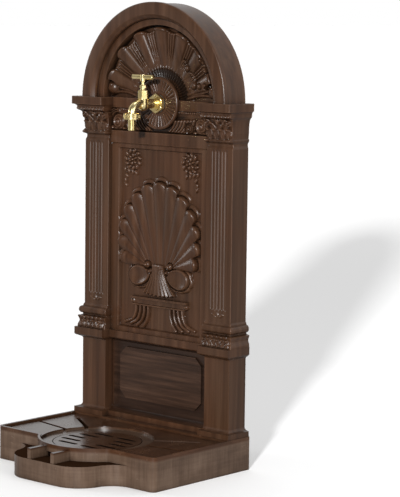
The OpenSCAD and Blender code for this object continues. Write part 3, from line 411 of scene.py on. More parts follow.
def rosette_shade_mask(nt):
    """The deep ring between the tap's rosette and the fan, coloured near black as painted shade."""
    at = position(nt)
    r = distance(nt, at[0], math_node(nt, "SUBTRACT", at[2], TAP_Z / 1000))
    ring = product(nt, spread(nt, r, 0.044, 0.046), spread(nt, r, 0.057, 0.066, 0.78, 0.0))
    return product(nt, ring, spread(nt, at[1], 0.1275, 0.129))


def tray_side_mask(nt):
    """Sides of the tray below its rim."""
    return spread(nt, position(nt)[2], 0.0496, 0.0532, 1.0, 0.0)


# Tones that the masks apply

def shaded_brush_marks(nt):
    """Tone darkened as painted shade for a recessed wall, with brush marks that run sideways."""
    marks = noise(nt, (7, 60, 150), 1.0, 5.0, 0.65)
    return ramp(nt, marks, [(0.28, (0.010, 0.0046, 0.0024)), (0.50, (0.025, 0.0120, 0.0070)),
                            (0.72, (0.047, 0.0240, 0.0145))])


def scuffed(nt):
    """Drier, lighter side of the tray with upright and level scratches."""
    upright = noise(nt, (120, 120, 9), 1.0, 6.0, 0.75)
    level = noise(nt, (9, 9, 200), 1.0, 6.0, 0.75)
    patches = noise(nt, (14, 14, 22), 1.0, 3.0, 0.5)
    both = math_node(nt, "ADD", product(nt, upright, 0.34), product(nt, level, 0.20))
    both = math_node(nt, "ADD", both, product(nt, patches, 0.46))
    return ramp(nt, both, [(0.34, (0.036, 0.0205, 0.0130)), (0.50, (0.070, 0.0435, 0.0290)),
                           (0.66, (0.108, 0.0720, 0.0510))])


# Materials

# Each set of tones runs from dark over mid to light
BROWN_TONES = ((0.023, 0.0104, 0.0051), (0.037, 0.0174, 0.0087), (0.054, 0.0275, 0.0150))
COVER_TONES = ((0.024, 0.0125, 0.0080), (0.038, 0.0205, 0.0135), (0.052, 0.0300, 0.0200))
# Near black for painted shade in deep hollows: round the rosette, in the sump and in the slots of the grate
SHADE_BLACK = (0.0035, 0.0026, 0.0022)
# Dark tone painted as shade in the sunk margin of the pedestal's wall
MARGIN_SHADE_TONE = (0.006, 0.0030, 0.0020)


def brown_plastic(name, rough, tones=BROWN_TONES, warm=(0.60, 0.48, 0.40), streak=(90, 90, 3.0), worn=0.0,
                  gloss=0.26, masks=(), matte=None):
    """Streaked plastic, darkened in its hollows with painted shade.

    worn brightens the crests of finely meshed pieces, masks lay tones over parts of the surface,
    mostly painted shade, and matte is a mask that takes the gloss away.
    """
    mat, nt, bsdf = principled(name)
    dark, mid, light = tones
    cloud = noise(nt, (1, 1, 1), 9.0, 5.0)
    lines = noise(nt, streak, 1.0, 4.0, 0.6)
    fine = noise(nt, (1, 1, 1), 900.0, 3.0)
    base = ramp(nt, lines, [(0.30, dark), (0.52, mid), (0.74, light)])
    tint = ramp(nt, cloud, [(0.38, (0.5, 0.5, 0.5)), (0.62, warm)])
    col = mix_rgb(nt, 0.55, base, tint, "OVERLAY")
    if worn > 0:
        geo = add(nt, "ShaderNodeNewGeometry")
        crest = ramp(nt, geo.outputs["Pointiness"], [(0.515, (0, 0, 0)), (0.60, (1, 1, 1))])
        col = mix_rgb(nt, product(nt, crest, worn), col, tuple(c * 2.1 for c in light))
    for mask, tone in masks:
        col = mix_rgb(nt, mask(nt), col, tone(nt) if callable(tone) else tone)
    # Painted shade: the colour darkens towards near black where ambient occlusion finds hollows and creases
    hollow = add(nt, "ShaderNodeAmbientOcclusion", samples=6, in_Distance=0.014)
    hollow_shade = ramp(nt, hollow.outputs["AO"], [(0.22, (0.9, 0.9, 0.9)), (0.72, (0, 0, 0))])
    col = mix_rgb(nt, hollow_shade, col, tuple(c * 0.18 for c in dark))
    nt.links.new(col, bsdf.inputs["Base Color"])
    rough_out = spread(nt, lines, 0.0, 1.0, rough - 0.07, rough + 0.09)
    bsdf.inputs["Specular IOR Level"].default_value = gloss
    if matte:
        dull = matte(nt)
        nt.links.new(spread(nt, dull, 0.0, 1.0, gloss, 0.0), bsdf.inputs["Specular IOR Level"])
        rough_out = math_node(nt, "ADD", rough_out, product(nt, dull, 0.45))
    nt.links.new(rough_out, bsdf.inputs["Roughness"])
    grain = bump(nt, lines, 0.16, 0.0004)
    nt.links.new(bump(nt, fine, 0.12, 0.0002, grain), bsdf.inputs["Normal"])
    bsdf.inputs["IOR"].default_value = 1.5
    return mat


def brass_metal(name, base, dark, rough):
    mat, nt, bsdf = principled(name)
    cloud = noise(nt, (1, 1, 1), 60.0, 5.0)
    fine = noise(nt, (1, 1, 1), 1400.0, 2.0)
    nt.links.new(ramp(nt, cloud, [(0.35, dark), (0.6, base)]), bsdf.inputs["Base Color"])
    bsdf.inputs["Metallic"].default_value = 1.0
    nt.links.new(spread(nt, cloud, 0.0, 1.0, rough * 0.7, rough * 1.5), bsdf.inputs["Roughness"])
    nt.links.new(bump(nt, fine, 0.08, 0.0002), bsdf.inputs["Normal"])
    return mat


def plain(name, a, b, rough, metal=0.0):
    """Finely speckled material between two tones."""
    mat, nt, bsdf = principled(name)
    speck = noise(nt, (1, 1, 1), 300.0, 5.0)
    nt.links.new(ramp(nt, speck, [(0.35, a), (0.65, b)]), bsdf.inputs["Base Color"])
    bsdf.inputs["Metallic"].default_value = metal
    nt.links.new(spread(nt, speck, 0.0, 1.0, rough - 0.06, rough + 0.08), bsdf.inputs["Roughness"])
    nt.links.new(bump(nt, speck, 0.15, 0.0002), bsdf.inputs["Normal"])
    return mat


# Painted shade: the deep ring round the rosette is coloured near black
CARVED = brown_plastic("moulded_brown_carved", 0.33, worn=0.6, gloss=0.25, masks=((rosette_shade_mask, SHADE_BLACK),))

# Materials by the record's slots, and the nodes that have one of their own
SLOT_MAT = {
    "moulded_brown": brown_plastic("moulded_brown", 0.32),
    "cover_plastic": brown_plastic("cover_plastic", 0.45, tones=COVER_TONES, warm=(0.55, 0.50, 0.47)),
    "brass": brass_metal("brass", (0.90, 0.74, 0.38), (0.78, 0.60, 0.26), 0.20),
    "zinc_steel": plain("zinc_steel", (0.60, 0.61, 0.63), (0.72, 0.73, 0.74), 0.32, metal=1.0),
    "rubber_black": plain("rubber_black", (0.012, 0.012, 0.012), (0.024, 0.024, 0.024), 0.62),
    "hose_green": plain("hose_green", (0.030, 0.085, 0.036), (0.045, 0.115, 0.05), 0.5),
}
OWN_MAT = {
    "base_tray": brown_plastic(
        # Painted shade on the level faces below the pads, which also lose their gloss
        "moulded_brown_tray", 0.24, streak=(30, 14, 60), matte=low_level_shade_and_matte_mask,
        # Painted shade: near black in the sump below the grate, and the darkest brown on the level faces
        # below the pads
        masks=((tray_side_mask, scuffed), (low_level_shade_and_matte_mask, BROWN_TONES[0]), (sump_shade_mask, SHADE_BLACK))),
    # Painted shade: the walls of the slots are coloured near black
    "drain_grate": brown_plastic("moulded_brown_grate", 0.24, streak=(60, 14, 60),
                                 masks=((slot_shade_mask, SHADE_BLACK),)),
    # Painted shade: the recessed wall gets a darker brushed tone, and its sunk margin a near black tone
    "pedestal_front": brown_plastic("moulded_brown_pedestal", 0.34,
                                    masks=((wall_shade_mask, shaded_brush_marks), (margin_shade_mask, MARGIN_SHADE_TONE))),
}
for part in frame["record"]["subparts"]:
    ob = frame["nodes"][part["node"]]
    ob.data.materials.clear()
    ob.data.materials.append(OWN_MAT.get(part["node"], SLOT_MAT[part["material_slot"]]))


# Profiles of the mouldings: share of the full projection by height

def profile(points):
    """Heights and shares as two arrays, with heights that always rise."""
    z = np.array([p[1] for p in points], float)
    for i in range(1, len(z)):
        z[i] = max(z[i], z[i - 1] + 0.02)
    return z, np.array([p[0] for p in points], float)


FOOT = profile([(1, LEDGE_Z)]
               + [(1 - 0.15 * (1 - cosd(i * 60)), LEDGE_Z + 3 + 17 * i / 6) for i in range(7)]
               + [(0.25, LEDGE_Z + 22), (0.25, LEDGE_Z + 24)]
               + [(0.3 + 0.55 * sind(i * 30), LEDGE_Z + 31 - 6.5 * cosd(i * 30)) for i in range(7)]
               + [(0.2, LEDGE_Z + 38), (0.2, LEDGE_Z + 40), (0, LEDGE_Z + 43)])
CAPITAL = profile([(0, SEAM_Z - 50), (-0.1, SEAM_Z - 45.5), (-0.1, SEAM_Z - 41.5)]
                  + [(0.02 + 0.12 * sind(i * 30), SEAM_Z - 36 - 3 * cosd(i * 30)) for i in range(7)]
                  + [(0.02, SEAM_Z - 31), (0.08, SEAM_Z - 24), (0.1, SEAM_Z - 14), (0.15, SEAM_Z - 7),
                     (0.23, SEAM_Z - 2.5), (0.31, SEAM_Z)])
CORNICE = profile([(0.31, SEAM_Z), (0.34, SEAM_Z + 0.6), (0.48, SEAM_Z + 2.4), (0.62, SEAM_Z + 4.6),
                   (0.62, SEAM_Z + 8.5)]
                  + [(1 - 0.38 * cosd(i * 18), SEAM_Z + 8.5 + 5 * sind(i * 18)) for i in range(1, 6)]
                  + [(1, CORNICE_Z - 0.7), (0.97, CORNICE_Z)])

# Relief of the panel: height above its ground, in mm

# The big shell: lobes that fan out from its foot, and a plump one under each knot.
# An edge between two lobes runs from (start, UMBO_Z) to a point at an angle and a distance.
UMBO_Z = 337.0
KNOT_X = 26.0
EDGES = [(-4.0, -5.85, 149.0), (4.0, 5.85, 149.0), (11.0, 17.8, 143.0), (18.0, 30.5, 133.0),
         (23.0, 43.6, 122.0), (KNOT_X, 57.6, 109.0), (KNOT_X, 73.0, 95.0), (KNOT_X, 90.0, 80.0)]
REACH = np.array([150.5, 147.5, 139.5, 130.0, 118.0, 104.5, 91.0])
# Middle and tilt of the plump lobe
PLUMP_X = 45.0
PLUMP_Z = 320.0
PLUMP_TILT = -10
# Knots: x, height of the middle, radius, height of the relief
KNOTS = ((KNOT_X + 0.5, 340, 6.6, 14.0), (20, 329, 4.6, 11.0))
SHEAF_TOP = 339.0
# Slab under the sheaf, and its rolled ends
SLAB_LOW = 266
SLAB_TOP = 277
ROLL_X = 63.5
ROLL_Z = 272.5
# Middle of the wreath, and the leaves of its tail
WREATH_X = 68
WREATH_Z = 523
WREATH_TAIL = [(60, 500), (68, 501), (77, 503), (86, 505), (82, 494), (85, 486), (84, 478)]


def shell_lobes(ax, z):
    """Upper lobes of the shell, and the row of scallops that shows beyond them."""
    rr = np.hypot(ax, z - UMBO_Z)
    off = []
    for start, angle, end in EDGES:
        run_x, run_z = end * sind(angle) - start, end * cosd(angle)
        off.append(((ax - start) * run_z - (z - UMBO_Z) * run_x) / math.hypot(run_x, run_z))
    k = np.zeros(ax.shape, int)
    for i in range(1, len(REACH)):
        k = np.where(off[i] > 0, i, k)
    gap = np.abs(np.stack(off))
    lo = np.take_along_axis(gap, k[None], 0)[0]
    hi = np.take_along_axis(gap, k[None] + 1, 0)[0]
    # u runs from -1 to 1 across a lobe, and s from 0 to 1 along it
    u = np.clip((lo - hi) / np.maximum(lo + hi, 1e-6), -1, 1)
    reach = REACH[k] - 9.0 * (1 - np.sqrt(1 - 0.97 * u * u))
    s = np.clip(rr / reach, 0, 1.2)
    along = np.clip(s, 0, 1)
    body = 4.8 + 7.4 * along ** 1.5 - (0.6 + 3.6 * along ** 1.1) * np.abs(u) ** 1.8
    body += 1.4 * np.exp(-((s - 0.94) / 0.045) ** 2) * (1 - u * u)
    body -= 0.5 * np.exp(-(u / 0.10) ** 2) * np.clip(1 - s, 0, 1) * (s > 0.15)
    body = np.where(rr < reach, body * roll_off(np.clip((rr - (reach - 3.4)) / 3.4, 0, 1), 0.92, 2.6), 0)
    f = (rr - reach - 1.0) / 8.2
    scallop = 5.0 * dome((2 * f - 0.9) ** 2 / 1.3) * (1 - 0.55 * np.abs(u) ** 2.2)
    flange = np.where((f > 0) & (f < 1), scallop, 0)
    flange = np.where((f > -0.13) & (f <= 0), 1.2, flange)
    return np.where(z >= UMBO_Z, np.maximum(body, flange), 0)


def plump_lobe(ax, z):
    """Lobe under each knot, with a scalloped border that closes the gap to the lobe above."""
    dx, dz = ax - PLUMP_X, z - PLUMP_Z
    c, s = cosd(PLUMP_TILT), sind(PLUMP_TILT)
    ex, ez = dx * c + dz * s, dz * c - dx * s
    q = np.hypot(ex / 26.0, ez / (18.0 + 0.14 * ex))
    ear = (6.2 + 5.2 * np.clip(q, 0, 1) ** 2.2) * roll_off(np.clip((q - 0.80) / 0.20, 0, 1), 0.97, 2.4)
    turn = np.arctan2(ez, ex)
    edge = 1.30 + 0.07 * np.abs(np.cos(turn * 180 / 34.0))
    far = np.hypot(ex / 25.0, ez / 18.5)
    border = np.where((far < edge) & (ex > -14), 5.2 * np.sqrt(np.clip((edge - far) / 0.14, 0, 1)), 0)
    border = np.where((far < 1.12) & (q > 1), 2.2, border)
    return np.maximum(border, np.where(q < 1, ear, 0))


def sheaf(x, z):
    """Sheaf of nine stalks under the shell."""
    t = np.clip((SHEAF_TOP - z) / 54.0, 0, 1)
    u = np.clip(x / (13.5 + 31.0 * t ** 1.6), -1.2, 1.2)
    ridge = np.cos(u * 9 * math.pi)
    stalks = (11.0 - 4.0 * t) * dome(0.45 * u * u) + (0.8 + 0.5 * t) * ridge
    foot = 284.5 + 4.5 * u * u - 0.7 * ridge
    return stalks * step01(0, 0.10, 1 - np.abs(u)) * step01(0, 1.8, z - foot) * (z < SHEAF_TOP + 2)


def slab(ax, z):
    """Slab with a hollow body and a lip above and below."""
    body = 4.6 - 1.6 * dome(((z - ROLL_Z) / 4.5) ** 2)
    h = np.where((ax < 61) & (z > SLAB_LOW) & (z < SLAB_TOP), body, 0.0)
    h = np.where((ax < 67) & (z > SLAB_TOP - 0.4) & (z < SLAB_TOP + 3.8), 7.8, h)
    return np.where((ax < 62) & (z > SLAB_LOW - 0.8) & (z < SLAB_LOW + 1.8), 6.4, h)


def legs(x, z, sx):
    """Four curved legs under one end of the slab."""
    h = np.zeros_like(x)
    for i in range(4):
        line = smooth_line([(sx * (26 + 9.5 * i), 265), (sx * (26.5 + 10.0 * i), 252),
                            (sx * (30.5 + 11.4 * i), 239), (sx * (39 + 14.6 * i), 227.5 + 1.6 * i)], 8)
        h = np.maximum(h, rib(x, z, line, 2.9, 3.4, 6.2, 4.8))
    return h


def wreath(x, z, sx):
    """Wreath in one upper corner, with a tail of leaves."""
    cx = sx * WREATH_X
    h = blob(x, z, cx, WREATH_Z, 3.0, 3.0, 5.2)
    for i in range(11):
        a = i * 360 / 11 + 12
        h = np.maximum(h, blob(x, z, cx + 16.5 * cosd(a), WREATH_Z + 15.5 * sind(a),
                               5.4, 3.2, 4.8, a + sx * 38))
    for i in range(6):
        a = i * 60 + 20
        h = np.maximum(h, blob(x, z, cx + 7.2 * cosd(a), WREATH_Z + 7.2 * sind(a), 4.2, 2.4, 4.6, a))
    for i, (tx, tz) in enumerate(WREATH_TAIL):
        h = np.maximum(h, blob(x, z, sx * tx, tz, 5.2, 2.7, 4.4, sx * (62 + 24 * (i % 2))))
    return h


def panel_relief(x, z):
    ax = np.abs(x)
    h = np.maximum(shell_lobes(ax, z), plump_lobe(ax, z))
    h = np.maximum(h, sheaf(x, z))
    h = np.maximum(h, blob(x, z, 0, SHEAF_TOP, 15, 4, 11.0))
    # Knots on both sides of the shell's foot, each in a sunk ring
    for sx in (-1, 1):
        for cx, cz, r, tall in KNOTS:
            q = np.hypot(x - sx * cx, z - cz)
            h = np.where((q > r - 0.4) & (q < r + 1.6), h - 2.4, h)
            h = np.maximum(h, curl(q, r, tall, 1.8, r * 0.55, 0.8))
    h = np.maximum(h, slab(ax, z))
    for sx in (-1, 1):
        h = np.maximum(h, curl(np.hypot(x - sx * ROLL_X, z - ROLL_Z), 5.0, 7.6, 2.2, 2.6, 0.8))
        h = np.maximum(h, legs(x, z, sx))
        h = np.maximum(h, wreath(x, z, sx))
    return h


# Relief of the frieze, the capitals and the feet

# Middle of the large scroll, whose crest runs on over the joint into the cornice
SCROLL_X = 98.0
SCROLL_Z = 589.0
# Scrolls: x, height of the middle, radius, height of the relief, turn of the spiral
SCROLLS = ((70.0, 583.5, 9.0, 6.6, 0.3), (SCROLL_X, SCROLL_Z, 14.6, 8.6, 0.0))
# Buds: x, height of the middle, direction, size
BUDS = ((112, 577.5, 60, 4.4), (105, 575.5, 110, 3.6), (84, 576.5, 20, 4.2))


def scroll_crest(ax, z):
    """Three ribs that curve over the outer side of the large scroll."""
    q = np.hypot(ax - SCROLL_X, z - SCROLL_Z)
    a = np.degrees(np.arctan2(z - SCROLL_Z, ax - SCROLL_X))
    ribs = [(7.4 - 0.8 * k) * dome(((q - 17.6 - 3.4 * k) / 1.5) ** 2) for k in range(3)]
    return np.maximum.reduce(ribs) * step01(12, 24, a) * step01(0, 16, 96 - a)


def frieze_relief(x, z):
    """Scrolled leaves between the capitals."""
    ax = np.abs(x)
    h = np.zeros_like(x)
    # Acanthus ribs that rise outwards from behind the rosette
    for i in range(8):
        x0 = 14.0 + 7.2 * i
        line = smooth_line([(x0, 572.5 + 0.2 * i), (x0 + 9, 577.0), (x0 + 18, 585.5),
                            (x0 + 23, 594.5 + 0.5 * i)], 6)
        h = np.maximum(h, rib(ax, z, line, 1.6, 3.4, 3.2, 6.0))
    # Small curl, then the large scroll, each with a sunk spiral and an eye
    for cx, cz, size, tall, turn in SCROLLS:
        q = np.hypot(ax - cx, z - cz)
        a = np.arctan2(z - cz, ax - cx) / (2 * math.pi)
        groove = np.cos(2 * math.pi * (q / (0.36 * size) - a - turn))
        body = tall * (1 - 0.55 * (q / size) ** 2) * dome((q / size) ** 6) + 1.5 * groove * (q > 0.22 * size)
        body += 1.6 * dome((q / (0.24 * size)) ** 2)
        ring = np.where(q < size + 1.6, np.minimum(h, 1.2), h)
        h = np.where(q < size, np.maximum(body, 0.6), ring)
    h = np.maximum(h, scroll_crest(ax, z))
    for cx, cz, turn, size in BUDS:
        h = np.maximum(h, blob(ax, z, cx, cz, size * 1.2, size * 0.8, 7.4, turn))
    return h * step01(574.5, 576.0, z)


def capital_relief(x, z):
    """Leaves and volutes round the bell of a capital; x is measured from the middle of its face."""
    h = np.zeros_like(x)
    for cx in (-21.6, -7.2, 7.2, 21.6):
        h = np.maximum(h, leaf(x, z, cx, SEAM_Z - 34, 7.6, 20, 6.6))
    for cx in (-14.4, 0.0, 14.4):
        h = np.maximum(h, leaf(x, z, cx, SEAM_Z - 27, 6.9, 24, 5.4))
    for sx in (-1, 1):
        q = np.hypot(x - sx * 24.0, z - (SEAM_Z - 6.5))
        h = np.maximum(h, curl(q, 6.2, 8.2, 2.8, 3.3, 0.9))
        stem = smooth_line([(sx * 5, SEAM_Z - 15), (sx * 13, SEAM_Z - 6), (sx * 20, SEAM_Z - 1.5)], 6)
        h = np.maximum(h, rib(x, z, stem, 2.0, 2.6, 4.0, 6.4))
        h = np.maximum(h, blob(x, z, sx * 26.0, SEAM_Z - 35.0, 4.6, 5.0, 6.4))
    return np.maximum(h, blob(x, z, 0, SEAM_Z - 3.4, 5.8, 4.0, 6.0))


def foot_relief(x, z):
    """Two rows of leaves on the swelling foot of a pilaster."""
    h = np.zeros_like(x)
    for cx in (-26, -15.6, -5.2, 5.2, 15.6, 26):
        h = np.maximum(h, leaf(x, z, cx, LEDGE_Z + 1.5, 5.6, 14.0, 4.4))
    for cx in (-20.8, -10.4, 0.0, 10.4, 20.8):
        h = np.maximum(h, leaf(x, z, cx, LEDGE_Z + 9.0, 5.2, 13.5, 3.6))
    return h


def flute_end(x, z):
    """Small leaves under the flutes of a pilaster."""
    h = blob(x, z, 0, 269.5, 2.6, 5.2, 2.4)
    for sx in (-1, 1):
        h = np.maximum(h, blob(x, z, sx * 7.0, 268.0, 5.4, 2.3, 2.2, sx * 34))
        h = np.maximum(h, blob(x, z, sx * 11.8, 270.4, 2.0, 2.0, 1.8))
    return h


# Shaft: pilasters, panel and frieze in one moulding

# How far a pilaster's foot stands out to the side and the front, and inwards
FOOT_OUT = 9.0
FOOT_IN = 2.0
# How far its capital stands out to both sides, and to the front
CAPITAL_OUT = 11.5
CAPITAL_FRONT = 24.2
FLUTE_PITCH = 7.4
FLUTE_R = 2.7
FLUTE_LOW = 277
FLUTE_TOP = SEAM_Z - 52
# The sunk field of the panel, and heights near the edges of the slab's lips
PANEL_LOW = LEDGE_Z + 8
PANEL_TOP = SEAM_Z - 60.5
SLAB_EDGES = (265, 280.8, 276.4)
# The rail between the panel and the frieze
RAIL_LOW = 550
RAIL_TOP = 574
RAIL_MID = 562
RAIL_D = WALL_D + 2


def flutes(local, z):
    """Depth of the five flutes of a pilaster."""
    across = np.abs(np.mod(local + 2.5 * FLUTE_PITCH, FLUTE_PITCH) - FLUTE_PITCH / 2)
    within = (np.abs(local) < 2.5 * FLUTE_PITCH) & (z > FLUTE_LOW) & (z < FLUTE_TOP)
    ends = np.minimum(np.clip((z - FLUTE_LOW) / 3.0, 0, 1), np.clip((FLUTE_TOP - z) / 3.0, 0, 1))
    return np.where(within, 1.5 * dome((across / FLUTE_R) ** 2) * np.sqrt(ends), 0)


def shaft_middle(inner, wall, zs):
    """Panel, rail and frieze between the pilasters, as x and d."""
    t = np.concatenate([np.linspace(-1, -0.4, 72), np.linspace(-0.4, 0.4, 152)[1:-1],
                        np.linspace(0.4, 1, 72)])[None, :]
    x = t * inner
    z = np.broadcast_to(zs[:, None], x.shape)
    ax = np.abs(x)
    rail = step01(0, 1.6, z - RAIL_LOW) * step01(0, 1.6, RAIL_TOP - z)
    ground = np.where(z < RAIL_MID, WALL_D, FRIEZE_D)
    d = np.broadcast_to(wall, x.shape).copy()
    d = np.where((z > RAIL_LOW - 1) & (z < RAIL_TOP + 1), ground + rail * (RAIL_D - ground), d)
    d -= 1.2 * (np.exp(-((z - RAIL_LOW + 0.6) / 0.9) ** 2) + np.exp(-((z - RAIL_TOP - 0.6) / 0.9) ** 2))
    sink = step01(0, 2.4, PANEL_X - ax) * step01(0, 2.4, z - PANEL_LOW) * step01(0, 2.4, PANEL_TOP - z)
    d -= PANEL_T * sink
    d += panel_relief(x, z) * sink
    d += np.where(z > RAIL_TOP, frieze_relief(x, z) * step01(0, 3, inner - ax), 0)
    return x, d


def shaft_piece():
    # Rows, closer where a profile bends or an edge runs across
    zs = np.concatenate([FOOT[0], CAPITAL[0], np.arange(LEDGE_Z, SEAM_Z + 0.01, 0.95), [SEAM_Z]])
    for edge in (PANEL_LOW, PANEL_TOP, RAIL_LOW, RAIL_TOP, *SLAB_EDGES):
        zs = np.concatenate([zs, [edge - 0.05, edge + 0.05]])
    zs = np.unique(np.round(np.clip(zs, LEDGE_Z, SEAM_Z), 3))
    foot = np.interp(zs, FOOT[0], FOOT[1], left=1, right=0)[:, None]
    cap = np.interp(zs, CAPITAL[0], CAPITAL[1], left=0, right=0.31)[:, None]
    depth = SHAFT_D + foot * FOOT_OUT + cap * CAPITAL_FRONT
    outer = SHAFT_HALF + (foot * FOOT_OUT + cap * CAPITAL_OUT)
    inner = PILASTER_X - foot * FOOT_IN - cap * CAPITAL_OUT
    bevel = 0.7
    # Side of the pilaster, from back to front
    d_side = np.linspace(0, 1, 34)[None, :] * (depth - bevel)
    x_side = np.broadcast_to(outer, d_side.shape)
    # Front of the pilaster
    x_front = (outer - bevel) + np.linspace(0, 1, 66)[None, :] * ((inner + bevel) - (outer - bevel))
    z = np.broadcast_to(zs[:, None], x_front.shape)
    local = x_front - (outer + inner) / 2
    fade = step01(0, 2.5, (SHAFT_HALF - PILASTER_X) / 2 - np.abs(local) + 1.5)
    d_front = depth - flutes(local, z) + flute_end(local, z)
    d_front = d_front + (capital_relief(local, z) * fade + foot_relief(local, z) * fade)
    # Return face towards the panel
    wall = np.interp(zs, [LEDGE_Z, RAIL_LOW - 0.1, RAIL_LOW + 0.1, RAIL_TOP - 0.1, RAIL_TOP + 0.1, SEAM_Z],
                     [WALL_D, WALL_D, RAIL_D, RAIL_D, FRIEZE_D, FRIEZE_D])[:, None]
    x_in = np.concatenate([inner, inner], 1)
    d_in = np.concatenate([depth - bevel, wall], 1)
    s = Shape()
    s.wrap(zs, (x_side, d_side), (x_front, d_front), (x_in, d_in), shaft_middle(inner, wall, zs),
           ((LEDGE_Z, LEDGE_Z + FLANGE_T), (SEAM_Z - FLANGE_T, SEAM_Z)))
    return s.build("shaft_front_moulding", CARVED)


# Crown: the cornice, the arch and the fan in one moulding

EGG_PITCH = 7.6
# Beads on both sides of the rosette
BEAD_COUNT = 15
BEAD_START = 41.5
BEAD_PITCH = 5.0

# Step in degrees from one roll of the fan to the next, and a roll's share of it
ROLL_STEP = 23.2
ROLL_SHARE = 0.54
# Volute at both ends of the fan
VOLUTE_X = 119
VOLUTE_Z = 648
# Knobs of the fan's right end: x, height of the middle, radius, height of the relief
KNOBS = ((75.5, 659, 7.5, 6.5), (90, 657, 4.5, 4.5), (61, 687, 5.5, 5.5), (68, 677, 3.8, 4.0),
         (106, 657, 5.0, 5.0), (96, 699, 4.5, 4.0), (104, 685, 5.2, 4.5), (52, 698, 3.6, 4.0))
# Lines of the leaves at both ends of the fan
END_LEAVES = ([(58, 634), (80, 640), (104, 641), (124, 635)], [(60, 642), (84, 649), (108, 650)],
              [(66, 652), (74, 664), (70, 676)])


def fan_relief(x, z):
    """Smooth rolls with fluted fields between, round the tap's axis."""
    rr = np.hypot(x, z - TAP_Z)
    ra = np.hypot(x, z - CORNICE_Z)
    ang = np.degrees(np.arctan2(z - TAP_Z, x))
    v = np.abs(ang - 90.0)
    t = (ang - 90.0) / ROLL_STEP
    k = np.clip(np.round(t), -3, 3)
    au = np.abs((t - k) * 2.0)
    s = np.clip((rr - 52) / 76.0, 0, 1)
    rise = 1.5 + 10.5 * s ** 1.15
    # Smooth roll with a flared lip
    w = au / ROLL_SHARE
    roll = rise + (2.0 + 6.4 * s) * dome(w ** 2) ** 0.9 - 1.5
    reach = 126.6 - 3.2 * np.clip(w, 0, 1) ** 2.4
    lip = np.clip((ra - (reach - 2.6)) / 2.6, 0, 1)
    roll = (roll + 1.5 * np.exp(-((ra - reach + 4.4) / 2.0) ** 2)) * roll_off(lip, 0.9, 2.4)
    roll = np.where((ra < reach) & (w < 1) & (v < 76), roll, 0)
    # Fluted field between two rolls
    slope = 1 - np.clip((1 - au) / (1 - ROLL_SHARE), 0, 1) ** 2
    end = 122.4 - 3.0 * slope
    lip = np.clip((ra - (end - 2.4)) / 2.4, 0, 1)
    ridge = 1.7 * np.cos(np.radians((ang - 90.0 - ROLL_STEP / 2) * 360 / 2.9))
    ridge = ridge * step01(64, 78, rr) * step01(0, 7, end - ra)
    field = rise - 1.4 + 1.2 * slope * s + ridge
    field = (field + 1.0 * np.exp(-((ra - end + 3.4) / 1.7) ** 2)) * roll_off(lip, 0.9, 2.4)
    field = np.where((v < 70) & (w > 0.97) & (ra < end), field, 0)
    # Back of the shell seen in the gaps of the scallops
    rim = np.where((ra < 126.4) & (v < 78), 4.0, 0)
    # Ring of small petals round the rosette, sunk where it meets it
    petal = np.abs(np.cos(np.radians(ang * 180 / 6.0)))
    ruffle = (0.8 + 4.4 * petal) * dome(((rr - 60) / (9.5 + 3 * petal)) ** 2)
    h = np.maximum(np.maximum(np.maximum(roll, field), ruffle), rim)
    ax = np.abs(x)
    q = np.hypot(ax - VOLUTE_X, z - VOLUTE_Z)
    eye = np.hypot(ax - VOLUTE_X + 1, z - VOLUTE_Z - 6)
    h = np.where(q < 14.5, 12.5 * dome((q / 13.0) ** 2) + 2.6 * dome((eye / 3.6) ** 2), h)
    h = h + (3.2 * petal - 4.5) * step01(0, 4, 62 - rr)
    for cx, cz, r, tall in KNOBS:
        h = h + curl(np.hypot(x - cx, z - cz), r, tall, 2.2, r + 0.9, 0.9)
    for pts in END_LEAVES:
        h = np.maximum(h, rib(ax, z, smooth_line(pts, 8), 4.2, 2.6, 7.0, 4.5))
    return h


def cornice_sheets(s):
    """Cornice with its eggs, and the fascia between its blocks with the row of beads."""
    zs = np.unique(np.round(np.concatenate([CORNICE[0], np.arange(SEAM_Z, CORNICE_Z, 1.2),
                                            [SEAM_Z + 7.9, SEAM_Z + 8.1, SEAM_Z + 9.5, CORNICE_Z]]), 3))
    share = np.interp(zs, CORNICE[0], CORNICE[1])[:, None]
    outer = SHAFT_HALF + share * (CORNICE_HALF - SHAFT_HALF)
    depth = SHAFT_D + share * (CORNICE_D - SHAFT_D)
    inner = PILASTER_X - 3.5 * share
    wall = CORNICE_WALL_D - 2.5 + 2.5 * np.clip((zs - SEAM_Z - 8) / 1.5, 0, 1)[:, None]
    bevel = 0.6
    d_side = np.linspace(0, 1, 20)[None, :] * (depth - bevel)
    x_side = np.broadcast_to(outer, d_side.shape)
    x_front = (outer - bevel) + np.linspace(0, 1, 60)[None, :] * (inner - outer + 2 * bevel)
    z = np.broadcast_to(zs[:, None], x_front.shape)
    egg = np.abs(np.mod(x_front - (outer + inner) / 2, EGG_PITCH) - EGG_PITCH / 2) / 3.3
    d_front = depth + 1.8 * dome(egg ** 2 + ((z - SEAM_Z - 4.4) / 3.9) ** 2)
    x_in = np.concatenate([inner, inner], 1)
    d_in = np.concatenate([depth - bevel, wall], 1)
    x_mid = np.linspace(-1, 1, 236)[None, :] * inner
    z = np.broadcast_to(zs[:, None], x_mid.shape)
    ax = np.abs(x_mid)
    bead = scroll_crest(ax, z) * (z < SEAM_Z + 8)
    for i in range(BEAD_COUNT):
        bead = np.maximum(bead, blob(ax, z, BEAD_START + BEAD_PITCH * i, SEAM_Z + 6.4, 2.05, 1.9, 3.2))
    d_mid = wall + bead * (ax > ROSETTE_R - 8)
    s.wrap(zs, (x_side, d_side), (x_front, d_front), (x_in, d_in), (x_mid, d_mid),
           ((SEAM_Z, SEAM_Z + FLANGE_T),))


def half_turn(steps):
    return np.radians(np.linspace(0, 180, steps))[None, :]


